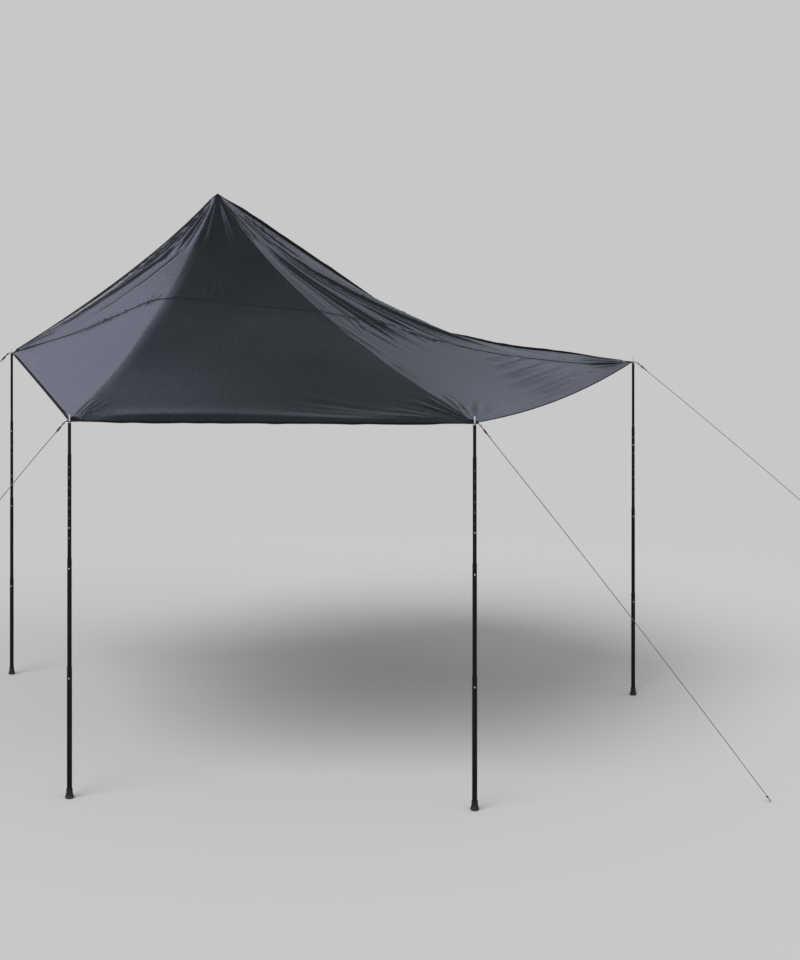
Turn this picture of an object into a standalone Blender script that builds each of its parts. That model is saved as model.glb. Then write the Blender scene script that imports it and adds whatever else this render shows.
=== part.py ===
# Rooftop tent awning: a tensioned canopy on four telescoping poles with guy lines.
# Metres, +Z up. The front hem faces -Y, the edge that joins the tent lies at +Y.
# The origin is on the ground, under the middle of the awning without its guy lines.

import math

import bmesh
import bpy
import numpy as np
from mathutils import Matrix, Vector

# Gaps kept between solids that touch on the real object
TOUCH_GAP = 0.0003
CLOTH_GAP = 0.0008

# Where the poles stand in plan
REAR_LEFT_X = -2.044
REAR_LEFT_Y = 0.878
FRONT_LEFT_X = -1.065
FRONT_LEFT_Y = -1.626
FRONT_RIGHT_X = 0.924
FRONT_RIGHT_Y = -1.799
REAR_RIGHT_X = 2.041
REAR_RIGHT_Y = 0.333

# The straight edge that joins the tent, from the peak down to where it leaves the tent
PEAK_X = -0.759
PEAK_Y = 1.630
PEAK_HEIGHT = 3.302
PEAK = (PEAK_X, PEAK_Y, PEAK_HEIGHT)
TENT_EDGE_END_X = 0.717
TENT_EDGE_END_Y = 1.880
TENT_EDGE_END_HEIGHT = 2.306
TENT_EDGE_END = (TENT_EDGE_END_X, TENT_EDGE_END_Y, TENT_EDGE_END_HEIGHT)

# Telescoping tubes, largest at the bottom
TUBE_SIDES = 16
LOWER_TUBE_DIAMETER = 0.025
TUBE_WALL = 0.0012
SLIDE_CLEARANCE = 0.0003
LOWER_TUBE_SHOWN = 0.645
MID_TUBE_SHOWN = 0.540
UPPER_TUBE_SHOWN = 0.510
TOP_TUBE_SHOWN = 0.455

# Button holes, each measured down from the top end of the tube that it is in. The upper
# tube's adjustment holes have letters from its top.
FIXED_BUTTON_DROP = 0.053
FIRST_HOLE_DROP = 0.062
HOLE_PITCH = 0.050
HOLES = "ABCDEFGH"
TUBE_BELOW_BUTTON = 0.022

# Spring clip: a dome on one leg of a folded strip that rests inside the tube
BUTTON_DIAMETER = 0.0060
BUTTON_CLEARANCE = 0.0004
BUTTON_PROUD = 0.0018
CLIP_WIDTH = 0.0070
CLIP_THICKNESS = 0.0005
CLIP_HEIGHT = 0.030
CLIP_BELOW_BUTTON = 0.006
CLIP_FOLD_GAP = 0.0024
HOLE_SIDES = 8
DOME_SIDES = 12

# Rubber foot
FOOT_WALL = 0.0027
FOOT_FLARE = 0.0062
FOOT_TREAD_INSET = 0.0085
FOOT_WIDEST_HEIGHT = 0.0085
FOOT_FLOOR = 0.010
FOOT_TAPER = 0.0265
FOOT_GROOVE_DEPTH = 0.0010
FOOT_GROOVE_WIDTH = 0.0025
FOOT_COLLAR = 0.0100
FOOT_RIM_BEVEL = 0.0010

# Spigot on the top tube, and the eyelet in the canopy's corner that it passes through
PIN_DIAMETER = 0.0070
PIN_SHOWN = 0.031
PIN_TIP_ROUND = 0.0020
COLLAR_HEIGHT = 0.0040
PLUG_DEPTH = 0.020
EYELET_CLEARANCE = 0.0008
EYELET_WALL = 0.0008
EYELET_FLANGE_DIAMETER = 0.020
EYELET_FLANGE = 0.0008
EYELET_SIDES = 12

# Reinforcements sewn to the canopy. Flat and nose are margins round the eyelet's flange.
CORNER_PATCH_THICKNESS = 0.0040
CORNER_PATCH_REACH = 0.050
CORNER_PATCH_FLAT = 0.0025
CORNER_PATCH_NOSE = 0.0080
NOSE_POINTS = 8
PEAK_PATCH_REACH = 0.060
PEAK_PATCH_THICKNESS = 0.0030
WELT_DIAMETER = 0.0070
WELT_BEVEL = 0.001

# Canopy cloth
CLOTH_THICKNESS = 0.0015
HEM_THICKNESS = 0.0030
HEM_WIDTH = 0.028
SEAM_BOW = 0.64
SEAM_LEFT_RISE = 0.30
SEAM_RIGHT_RISE = 0.10
SEAM_SAMPLES = 80

# Webbing loop at each corner
LOOP_WIDTH = 0.010
LOOP_THICKNESS = 0.0024
LOOP_EYE_DIAMETER = 0.0094
LOOP_START = 0.010
LOOP_BEND = 0.021
LOOP_DROP = 0.008
LOOP_ROUNDS = 16

# Guy lines
LINE_DIAMETER = 0.0035
LINE_TURN_RADIUS = 0.0075
LINE_SEAT_GAP = 0.0005
LINE_STRAIGHT = 0.004
LINE_TAIL = 0.072
LINE_TAIL_END = 0.010
LINE_TAIL_SPREAD = 0.0045
LINE_TAIL_DROP = 0.0030
LINE_TURN_POINTS = 9
LINE_POINT_SPACING = 0.070
SLIDER_START = 0.024
SLIDER_LENGTH = 0.026
SLIDER_WIDTH = 0.026
SLIDER_THICKNESS = 0.0085
SLIDER_BORE_CLEARANCE = 0.0006
KNOT_LENGTH = 0.013
KNOT_DIAMETER = 0.010
END_RING_RADIUS = 0.011
END_RING_SUNK = 0.0025
END_RING_TURNS = 14
END_RING_SIDES = 6
GROUND_GAP = 0.002

# Cells of the canopy's net: along each side, round a corner, along the hem, and down it
SIDE_CELLS = 13
CORNER_CELLS = 6
HEM_CELLS = 16
TENT_EDGE_CELLS = 7
ROWS = 18
SEAM_ROW = 9
COLUMNS = 2 * SIDE_CELLS + 2 * CORNER_CELLS + HEM_CELLS
LEFT_RIDGE = SIDE_CELLS + CORNER_CELLS // 2
RIGHT_RIDGE = SIDE_CELLS + CORNER_CELLS + HEM_CELLS + CORNER_CELLS // 2
RIGHT_SIDE = COLUMNS - SIDE_CELLS

# Pulls in the cloth, in newtons for a stress of one newton per metre in the sheet
LEFT_EDGE_PULL = 60.0
FRONT_HEM_PULL = 80.0
RIGHT_EDGE_PULL = 40.0
TENT_LEFT_EDGE_PULL = 2.0
TENT_RIGHT_EDGE_PULL = 6.0
LEFT_RIDGE_PULL = 5.0
RIGHT_RIDGE_PULL = 4.5
LEFT_EDGE_WEIGHT = 1.3
RIGHT_EDGE_WEIGHT = 3.6
SETTLING_ROUNDS = 14
SETTLING_STEP = 0.6

# Each corner: its place, the hole that its top tube's button stands in, and its guy line.
# A line has a heading in plan and a slope below the level, both in degrees, and a reach
# in metres. A line with no reach of its own runs down to the ground.
CORNERS = {
    "rear_left": {
        "x": REAR_LEFT_X, "y": REAR_LEFT_Y, "hole": "A",
        "heading": 172.0, "slope": 45.0, "reach": 0.30,
    },
    "front_left": {
        "x": FRONT_LEFT_X, "y": FRONT_LEFT_Y, "hole": "G",
        "heading": 180.0, "slope": 50.5, "reach": 0.60,
    },
    "front_right": {
        "x": FRONT_RIGHT_X, "y": FRONT_RIGHT_Y, "hole": "G",
        "heading": 4.3, "slope": 52.2, "reach": None,
    },
    "rear_right": {
        "x": REAR_RIGHT_X, "y": REAR_RIGHT_Y, "hole": "B",
        "heading": 2.0, "slope": 40.0, "reach": 1.42,
    },
}

# Sag of each line between its slider and its end, as a share of its reach
LINE_SAG = 0.004


def radius_inside(outer_radius):
    return outer_radius - TUBE_WALL


LOWER_RADIUS = LOWER_TUBE_DIAMETER / 2
MID_RADIUS = radius_inside(LOWER_RADIUS) - SLIDE_CLEARANCE
UPPER_RADIUS = radius_inside(MID_RADIUS) - SLIDE_CLEARANCE
TOP_RADIUS = radius_inside(UPPER_RADIUS) - SLIDE_CLEARANCE


def finish(name, colour, roughness, metallic=0.0):
    """Return the material of this name, made the first time that it is asked for."""
    material = bpy.data.materials.get(name)
    if material is None:
        material = bpy.data.materials.new(name)
        material.use_nodes = True
        shader = material.node_tree.nodes["Principled BSDF"]
        shader.inputs["Base Color"].default_value = (*colour, 1.0)
        shader.inputs["Roughness"].default_value = roughness
        shader.inputs["Metallic"].default_value = metallic
        material.diffuse_color = (*colour, 1.0)
    return material


def dark_cloth():
    return finish("coated_polyester_cloth", (0.035, 0.040, 0.047), 0.55)


def webbing():
    return finish("black_webbing", (0.012, 0.012, 0.013), 0.85)


def black_tube():
    return finish("black_painted_aluminium", (0.013, 0.013, 0.014), 0.40, 0.6)


def bright_steel():
    return finish("bright_steel", (0.62, 0.62, 0.63), 0.25, 1.0)


def black_rubber():
    return finish("black_rubber", (0.016, 0.016, 0.017), 0.75)


def black_plastic():
    return finish("black_plastic", (0.02, 0.02, 0.021), 0.45)


def grey_cord():
    return finish("dark_cord", (0.045, 0.045, 0.048), 0.80)


def link(name, data, material, parent, location=(0.0, 0.0, 0.0)):
    """Make an object from mesh or curve data and place it under its parent."""
    obj = bpy.data.objects.new(name, data)
    bpy.context.scene.collection.objects.link(obj)
    obj.parent = parent
    obj.location = location
    if data is not None and not data.materials:
        data.materials.append(material)
    return obj


def mesh_from(name, vertices, faces, smooth_angle=None):
    """Turn vertices and faces into a mesh whose faces point outwards."""
    mesh = bpy.data.meshes.new(name)
    mesh.from_pydata([tuple(map(float, v)) for v in vertices], [], faces)
    shape = bmesh.new()
    shape.from_mesh(mesh)
    if shape.calc_volume(signed=True) < 0:
        bmesh.ops.reverse_faces(shape, faces=shape.faces)
    shape.to_mesh(mesh)
    shape.free()
    if smooth_angle is not None:
        mesh.shade_smooth()
        mesh.set_sharp_from_angle(angle=math.radians(smooth_angle))
    return mesh


def turned(name, profile, sides, closed=False):
    """Spin (radius, height) points about Z. An open profile starts and ends on the axis."""
    step = 2 * math.pi / sides
    turns = [(math.cos(step * (i + 0.5)), math.sin(step * (i + 0.5))) for i in range(sides)]
    vertices, rings = [], []
    for radius, height in profile:
        if radius <= 0.0:
            rings.append([len(vertices)])
            vertices.append((0.0, 0.0, height))
            continue
        rings.append(list(range(len(vertices), len(vertices) + sides)))
        vertices += [(radius * c, radius * s, height) for c, s in turns]
    pairs = list(zip(rings, rings[1:]))
    if closed:
        pairs.append((rings[-1], rings[0]))
    faces = []
    for low, high in pairs:
        for i in range(sides):
            j = (i + 1) % sides
            if len(low) == 1:
                faces.append((low[0], high[j], high[i]))
            elif len(high) == 1:
                faces.append((low[i], low[j], high[0]))
            else:
                faces.append((low[i], low[j], high[j], high[i]))
    return mesh_from(name, vertices, faces, 40)


def plate(name, outline, holes, depth):
    """Extrude an outline in XY, with holes through it, by depth along +Z."""
    shape = bmesh.new()
    for ring in [outline, *holes]:
        points = [shape.verts.new((x, y, 0.0)) for x, y in ring]
        for a, b in zip(points, points[1:] + points[:1]):
            shape.edges.new((a, b))
    bmesh.ops.triangle_fill(shape, edges=shape.edges[:], use_beauty=True)
    grown = bmesh.ops.extrude_face_region(shape, geom=shape.faces[:], use_keep_orig=True)
    lifted = [item for item in grown["geom"] if isinstance(item, bmesh.types.BMVert)]
    bmesh.ops.translate(shape, verts=lifted, vec=(0.0, 0.0, depth))
    bmesh.ops.recalc_face_normals(shape, faces=shape.faces[:])
    if shape.calc_volume(signed=True) < 0:
        bmesh.ops.reverse_faces(shape, faces=shape.faces[:])
    mesh = bpy.data.meshes.new(name)
    shape.to_mesh(mesh)
    shape.free()
    return mesh


def circle(radius, count, centre=(0.0, 0.0), start=0.0):
    step = 2 * math.pi / count
    return [
        (centre[0] + radius * math.cos(start + step * i), centre[1] + radius * math.sin(start + step * i))
        for i in range(count)
    ]


def cutter(name, mesh, parent, location=(0.0, 0.0, 0.0), turn=None):
    """An object that only shapes its neighbour."""
    obj = link(name, mesh, None, parent, location)
    if turn is not None:
        obj.rotation_euler = turn
    obj.hide_render = True
    obj.display_type = "WIRE"
    return obj


def combine(obj, other, operation):
    change = obj.modifiers.new(f"{operation.lower()}_{other.name}", "BOOLEAN")
    change.operation = operation
    change.solver = "EXACT"
    change.object = other


# Telescoping poles

def hole_cutters(name, radius, heights, parent, base):
    """Short rods that pierce the -Y wall of a tube at these heights."""
    rod_radius = BUTTON_DIAMETER / 2 + BUTTON_CLEARANCE
    vertices, faces = [], []
    sides = HOLE_SIDES
    reach = (radius * 0.5, radius * 1.5)
    for height in heights:
        start = len(vertices)
        for y in reach:
            vertices += [(x, -y, height + z) for x, z in circle(rod_radius, sides)]
        near = list(range(start, start + sides))
        far = list(range(start + sides, start + 2 * sides))
        faces += [(near[i], near[(i + 1) % sides], far[(i + 1) % sides], far[i]) for i in range(sides)]
        faces += [tuple(reversed(near)), tuple(far)]
    return cutter(f"cut_{name}", mesh_from(f"cut_{name}", vertices, faces), parent, (0.0, 0.0, base))


def tube(name, radius, base, length, holes, pole):
    """One hollow tube, its origin on the pole's axis at its lower end."""
    bore = radius_inside(radius)
    profile = [(bore, 0.0), (radius, 0.0), (radius, length), (bore, length)]
    obj = link(name, turned(name, profile, TUBE_SIDES, closed=True), black_tube(), pole, (0.0, 0.0, base))
    combine(obj, hole_cutters(name, radius, holes, pole, base), "DIFFERENCE")
    return obj


def clip(name, inner_radius, outer_radius, height, pole):
    """A folded spring strip with its dome through both tube walls, facing -Y."""
    bore = radius_inside(inner_radius)
    half = CLIP_WIDTH / 2
    face = math.sqrt(bore**2 - half**2) * math.cos(math.pi / TUBE_SIDES) - TOUCH_GAP
    fold = CLIP_FOLD_GAP / 2
    run = [
        (-face, -CLIP_BELOW_BUTTON),
        (-face, CLIP_BELOW_BUTTON),
        (-fold - CLIP_THICKNESS, CLIP_HEIGHT),
        (fold + CLIP_THICKNESS, CLIP_HEIGHT),
        (face, CLIP_BELOW_BUTTON),
        (face, -CLIP_BELOW_BUTTON),
    ]
    back = [
        (face - CLIP_THICKNESS, -CLIP_BELOW_BUTTON),
        (face - CLIP_THICKNESS, CLIP_BELOW_BUTTON),
        (fold, CLIP_HEIGHT - CLIP_THICKNESS),
        (-fold, CLIP_HEIGHT - CLIP_THICKNESS),
        (-face + CLIP_THICKNESS, CLIP_BELOW_BUTTON),
        (-face + CLIP_THICKNESS, -CLIP_BELOW_BUTTON),
    ]
    strip = plate(f"{name}_strip", run + back, [], CLIP_WIDTH)
    # The plate lies in XY: its X becomes -Y to +Y across the tube and its Y becomes the height
    strip.transform(Matrix(((0, 0, 1, -half), (1, 0, 0, 0), (0, 1, 0, 0), (0, 0, 0, 1))))
    obj = link(name, strip, bright_steel(), pole, (0.0, 0.0, height))
    tip = outer_radius + BUTTON_PROUD
    radius = BUTTON_DIAMETER / 2
    root = face - CLIP_THICKNESS / 2
    dome = turned(
        f"{name}_dome",
        [(0.0, root), (radius, root), (radius, tip - radius * 0.45),
         (radius * 0.72, tip - radius * 0.12), (0.0, tip)],
        DOME_SIDES,
    )
    # Along Z at first, then laid along -Y
    dome.transform(Matrix.Rotation(math.radians(90.0), 4, "X"))
    combine(obj, cutter(f"add_{name}", dome, pole, (0.0, 0.0, height)), "UNION")
    return obj


def foot(name, pole):
    """A rubber cup that flares down from a collar and rounds off under its widest ring."""
    cup = LOWER_RADIUS + TOUCH_GAP
    neck = cup + FOOT_WALL
    widest = neck + FOOT_FLARE
    tread = widest - FOOT_TREAD_INSET
    groove = neck - FOOT_GROOVE_DEPTH
    taper_top = FOOT_WIDEST_HEIGHT + FOOT_TAPER
    collar_low = taper_top + FOOT_GROOVE_WIDTH
    top = collar_low + FOOT_COLLAR
    profile = [
        (0.0, 0.0), (tread, 0.0), ((tread + widest) / 2, FOOT_WIDEST_HEIGHT * 0.25),
        (widest, FOOT_WIDEST_HEIGHT), (neck, taper_top), (groove, taper_top),
        (groove, collar_low), (neck, collar_low), (neck, top - FOOT_RIM_BEVEL),
        (neck - FOOT_RIM_BEVEL, top), (cup, top), (cup, FOOT_FLOOR), (0.0, FOOT_FLOOR),
    ]
    return link(name, turned(name, profile, TUBE_SIDES), black_rubber(), pole)


def spigot(name, base, pole):
    """Plug, collar and pin in one piece, its origin at the top tube's upper end."""
    plug = radius_inside(TOP_RADIUS) - TOUCH_GAP
    pin = PIN_DIAMETER / 2
    collar_top = TOUCH_GAP + COLLAR_HEIGHT
    tip = collar_top + eyelet_stack() + PIN_SHOWN
    profile = [
        (0.0, -PLUG_DEPTH), (plug, -PLUG_DEPTH), (plug, TOUCH_GAP), (TOP_RADIUS, TOUCH_GAP),
        (TOP_RADIUS, collar_top), (pin, collar_top), (pin, tip - PIN_TIP_ROUND),
        (pin - PIN_TIP_ROUND * 0.4, tip - PIN_TIP_ROUND * 0.3), (0.0, tip),
    ]
    return link(name, turned(name, profile, TUBE_SIDES), bright_steel(), pole, (0.0, 0.0, base))


def pole_height(hole):
    """From the ground to the top tube's upper end, with its button in this hole."""
    shown = LOWER_TUBE_SHOWN + MID_TUBE_SHOWN + UPPER_TUBE_SHOWN + TOP_TUBE_SHOWN
    return shown - HOLE_PITCH * HOLES.index(hole)


def build_pole(corner, spec, awning):
    pole = link(f"{corner}_pole", None, None, awning, (spec["x"], spec["y"], 0.0))
    lower_top = LOWER_TUBE_SHOWN
    mid_top = lower_top + MID_TUBE_SHOWN
    upper_top = mid_top + UPPER_TUBE_SHOWN
    top_end = pole_height(spec["hole"])
    lower_base = FOOT_FLOOR + TOUCH_GAP
    below = TUBE_BELOW_BUTTON

    mid_button = lower_top - FIXED_BUTTON_DROP
    upper_button = mid_top - FIXED_BUTTON_DROP
    holes_down = [FIRST_HOLE_DROP + HOLE_PITCH * i for i in range(len(HOLES))]
    top_button = upper_top - holes_down[HOLES.index(spec["hole"])]

    foot(f"{corner}_foot", pole)
    tube(f"{corner}_lower_tube", LOWER_RADIUS, lower_base, lower_top - lower_base,
         [mid_button - lower_base], pole)
    mid_base = mid_button - below
    tube(f"{corner}_mid_tube", MID_RADIUS, mid_base, mid_top - mid_base,
         [below, upper_button - mid_base], pole)
    upper_base = upper_button - below
    upper_holes = [upper_top - drop - upper_base for drop in holes_down]
    tube(f"{corner}_upper_tube", UPPER_RADIUS, upper_base, upper_top - upper_base,
         [below, *upper_holes], pole)
    top_base = top_button - below
    tube(f"{corner}_top_tube", TOP_RADIUS, top_base, top_end - top_base, [below], pole)
    clip(f"{corner}_mid_clip", MID_RADIUS, LOWER_RADIUS, mid_button, pole)
    clip(f"{corner}_upper_clip", UPPER_RADIUS, MID_RADIUS, upper_button, pole)
    clip(f"{corner}_top_clip", TOP_RADIUS, UPPER_RADIUS, top_button, pole)
    spigot(f"{corner}_spigot", top_end, pole)


# Corner hardware

def eyelet_stack():
    """Height of the eyelet above the collar, with the gap under it."""
    return TOUCH_GAP + eyelet_height()


def eyelet_height():
    return 2 * EYELET_FLANGE + CORNER_PATCH_THICKNESS + 2 * TOUCH_GAP


def patch_underside(spec):
    """Height of the flat underside of a corner's patch."""
    collar_top = pole_height(spec["hole"]) + TOUCH_GAP + COLLAR_HEIGHT
    return collar_top + TOUCH_GAP + EYELET_FLANGE + TOUCH_GAP


def corner_point(spec):
    """The middle of the patch's thickness on the pole's axis."""
    return np.array([spec["x"], spec["y"], patch_underside(spec) + CORNER_PATCH_THICKNESS / 2])


def eyelet(name, spec, awning):
    bore = PIN_DIAMETER / 2 + EYELET_CLEARANCE
    barrel = bore + EYELET_WALL
    flange = EYELET_FLANGE_DIAMETER / 2
    top = eyelet_height()
    profile = [
        (bore, 0.0), (flange, 0.0), (flange, EYELET_FLANGE), (barrel, EYELET_FLANGE),
        (barrel, top - EYELET_FLANGE), (flange, top - EYELET_FLANGE), (flange, top), (bore, top),
    ]
    base = patch_underside(spec) - TOUCH_GAP - EYELET_FLANGE
    mesh = turned(name, profile, EYELET_SIDES, closed=True)
    link(name, mesh, bright_steel(), awning, (spec["x"], spec["y"], base))


def line_axes(spec):
    """Unit vectors of a guy line: out in plan, along the line, and across it level."""
    heading = math.radians(spec["heading"])
    slope = math.radians(spec["slope"])
    out = np.array([math.cos(heading), math.sin(heading), 0.0])
    along = out * math.cos(slope) - np.array([0.0, 0.0, math.sin(slope)])
    across = np.array([-out[1], out[0], 0.0])
    return out, along, across


def loop_eye(spec):
    """Centre of the webbing loop's eye."""
    out, along, _ = line_axes(spec)
    bend = corner_point(spec) + out * LOOP_BEND
    return bend + along * (LOOP_DROP + LOOP_EYE_DIAMETER / 2)


def webbing_loop(name, spec, corner_at, awning):
    """A strip from the patch that bends down along the line and closes round an eye."""
    out, along, across = line_axes(spec)
    half = LOOP_THICKNESS / 2
    slope = math.radians(spec["slope"])
    eye = LOOP_EYE_DIAMETER / 2
    rim = eye + LOOP_THICKNESS
    # The profile is drawn with X outwards and Y up, from the corner point
    centre = np.array([LOOP_BEND + (LOOP_DROP + eye) * math.cos(slope), -(LOOP_DROP + eye) * math.sin(slope)])
    direction = np.array([math.cos(slope), -math.sin(slope)])
    normal = np.array([math.sin(slope), math.cos(slope)])
    turn = math.tan(slope / 2) * half
    waist = math.asin(half / rim)
    upper = [(LOOP_START, half), (LOOP_BEND + turn, half)]
    lower = [(LOOP_BEND - turn, -half), (LOOP_START, -half)]
    arc = []
    for i in range(LOOP_ROUNDS + 1):
        angle = math.pi - waist - (2 * math.pi - 2 * waist) * i / LOOP_ROUNDS
        arc.append(tuple(centre + rim * (math.cos(angle) * direction + math.sin(angle) * normal)))
    mesh = plate(name, upper + arc + lower, [circle(eye, LOOP_ROUNDS, centre)], LOOP_WIDTH)
    frame = Matrix((
        (out[0], 0.0, -across[0], across[0] * LOOP_WIDTH / 2),
        (out[1], 0.0, -across[1], across[1] * LOOP_WIDTH / 2),
        (0.0, 1.0, 0.0, 0.0),
        (0.0, 0.0, 0.0, 1.0),
    ))
    mesh.transform(frame)
    return cutter(name, mesh, awning, tuple(corner_at))


def corner_patch(name, spec, arc, normals, awning):
    """A reinforcement round the eyelet, from the cloth's cut edge to a rounded nose."""
    centre = corner_point(spec)
    flat = EYELET_FLANGE_DIAMETER / 2 + CORNER_PATCH_FLAT
    front = EYELET_FLANGE_DIAMETER / 2 + CORNER_PATCH_NOSE
    rim = arc - centre
    angles = np.unwrap(np.arctan2(rim[:, 1], rim[:, 0]))
    if angles[-1] < angles[0]:
        angles, rim, normals = angles[::-1], rim[::-1], normals[::-1]
    gap = 2 * math.pi - (angles[-1] - angles[0])
    swing = gap * np.arange(1, NOSE_POINTS + 1) / (NOSE_POINTS + 1)
    nose = []
    for turn in swing:
        # The sides run straight from the ends of the cut edge to a circle round the eyelet
        near_end = turn < gap / 2
        end = rim[-1] if near_end else rim[0]
        end_reach = math.hypot(end[0], end[1])
        away = turn if near_end else gap - turn
        tangent = math.acos(min(1.0, front / end_reach))
        radius = front / math.cos(max(tangent - away, 0.0))
        angle = angles[-1] + turn
        lift = end[2] * (radius - front) / (end_reach - front)
        nose.append((radius * math.cos(angle), radius * math.sin(angle), lift))
    rim = np.vstack([rim, nose])
    angles = np.concatenate([angles, angles[-1] + swing])
    normals = np.vstack([normals, np.tile((0.0, 0.0, 1.0), (NOSE_POINTS, 1))])
    count = len(angles)
    steps = np.diff(np.append(angles, angles[0] + 2 * math.pi))
    bore = PIN_DIAMETER / 2 + EYELET_CLEARANCE + EYELET_WALL + TOUCH_GAP
    bore /= math.cos(steps.max() / 2)
    level = np.stack([np.cos(angles), np.sin(angles), np.zeros(count)], axis=1)
    upright = np.tile((0.0, 0.0, 1.0), (count, 1))
    half = CORNER_PATCH_THICKNESS / 2
    vertices = []
    for side in (half, -half):
        for points, up in ((level * bore, upright), (level * flat, upright), (rim, normals)):
            vertices += list(points + up * side)
    ring = [list(range(count * i, count * (i + 1))) for i in range(6)]
    faces = []
    for a, b in ((0, 1), (1, 2), (2, 5), (5, 4), (4, 3), (3, 0)):
        for i in range(count):
            j = (i + 1) % count
            faces.append((ring[a][i], ring[b][i], ring[b][j]))
            faces.append((ring[a][i], ring[b][j], ring[a][j]))
    obj = link(name, mesh_from(name, vertices, faces), webbing(), awning, tuple(centre))
    combine(obj, webbing_loop(f"add_{name}_loop", spec, centre, awning), "UNION")
    return obj


def peak_patch(name, fan, normals, awning):
    """A small pyramid of webbing under the peak, from its tip to the cloth's cut edge."""
    tip = np.array(PEAK)
    away = fan - tip
    half = PEAK_PATCH_THICKNESS / 2
    top_half = unit(normals.mean(axis=0)) * half
    count = len(fan)
    vertices = [top_half, -top_half, *(away + normals * half), *(away - normals * half)]
    top = list(range(2, 2 + count))
    low = list(range(2 + count, 2 + 2 * count))
    faces = []
    for i in range(count - 1):
        faces += [(0, top[i], top[i + 1]), (1, low[i + 1], low[i])]
        faces += [(top[i], low[i], low[i + 1]), (top[i], low[i + 1], top[i + 1])]
    faces += [(0, 1, low[0]), (0, low[0], top[0])]
    faces += [(1, 0, top[-1]), (1, top[-1], low[-1])]
    return link(name, mesh_from(name, vertices, faces), webbing(), awning, tuple(tip))


# Canopy

def unit(vector):
    return vector / np.linalg.norm(vector)


def directions(ends, counts):
    """Unit directions that swing from each end to the next in this many equal parts."""
    swing = []
    for first, last, count in zip(ends, ends[1:], counts):
        swing += [unit(unit(first) * (1 - i / count) + unit(last) * i / count) for i in range(count)]
    swing.append(unit(ends[-1]))
    return np.array(swing)


def held_points():
    """The net's points that are fixed: the corners, the peak and the edge along the tent."""
    at = {name: corner_point(spec) for name, spec in CORNERS.items()}
    peak = np.array(PEAK)
    leaving = np.array(TENT_EDGE_END)
    net = np.zeros((ROWS + 1, COLUMNS + 1, 3))
    held = np.zeros((ROWS + 1, COLUMNS + 1), bool)
    seam = at["rear_right"] - at["rear_left"]
    level = seam * (1, 1, 0)
    halves = (SEAM_ROW, ROWS - SEAM_ROW)
    reach = CORNER_PATCH_REACH + CLOTH_GAP

    def arc(name, ends, counts):
        return at[name] + reach * directions(ends, counts)

    net[:, 0] = arc("rear_left", [
        peak - at["rear_left"], unit(level) + (0, 0, SEAM_LEFT_RISE), at["front_left"] - at["rear_left"],
    ], halves)
    net[:, -1] = arc("rear_right", [
        leaving - at["rear_right"], (0, 0, SEAM_RIGHT_RISE) - unit(level), at["front_right"] - at["rear_right"],
    ], halves)
    held[:, 0] = True
    held[:, -1] = True

    pair = (CORNER_CELLS // 2, CORNER_CELLS // 2)
    left = slice(SIDE_CELLS, SIDE_CELLS + CORNER_CELLS + 1)
    net[-1, left] = arc("front_left", [
        at["rear_left"] - at["front_left"], peak - at["front_left"], at["front_right"] - at["front_left"],
    ], pair)
    right = slice(RIGHT_SIDE - CORNER_CELLS, RIGHT_SIDE + 1)
    net[-1, right] = arc("front_right", [
        at["front_left"] - at["front_right"], peak - at["front_right"], at["rear_right"] - at["front_right"],
    ], pair)
    held[-1, left] = True
    held[-1, right] = True

    fan = directions(
        [at["rear_left"] - peak, at["front_left"] - peak, at["front_right"] - peak, leaving - peak],
        (CORNER_CELLS // 2, HEM_CELLS + CORNER_CELLS, CORNER_CELLS // 2),
    )
    across = slice(SIDE_CELLS, RIGHT_SIDE + 1)
    net[0, across] = peak + (PEAK_PATCH_REACH + CLOTH_GAP) * fan
    share = np.linspace(0.0, 1.0, TENT_EDGE_CELLS + 1)[:, None]
    along = slice(RIGHT_SIDE, RIGHT_SIDE + TENT_EDGE_CELLS + 1)
    net[0, along] = net[0, RIGHT_SIDE] * (1 - share) + leaving * share
    held[0, SIDE_CELLS:RIGHT_SIDE + TENT_EDGE_CELLS + 1] = True
    return net, held


def straight_net(net, held):
    """A first shape: free edge points in line, and straight columns between the edges."""
    start = net.copy()
    for row in (0, ROWS):
        known = np.flatnonzero(held[row])
        for axis in range(3):
            start[row, :, axis] = np.interp(np.arange(COLUMNS + 1), known, net[row, known, axis])
    share = np.linspace(0.0, 1.0, ROWS + 1)[:, None, None]
    filled = start[0] * (1 - share) + start[-1] * share
    start[1:-1, 1:-1] = filled[1:-1, 1:-1]
    return start


def shared(lengths, axis):
    """Half of each cell's length given to the point at either end of it."""
    pad = [(0, 0), (0, 0)]
    pad[axis] = (1, 0)
    before = np.pad(lengths, pad)
    pad[axis] = (0, 1)
    return (before + np.pad(lengths, pad)) / 2


def add_pull(stiffness, lengths, row, columns, pull):
    stiffness[row, columns] += pull / lengths[row, columns]


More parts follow.
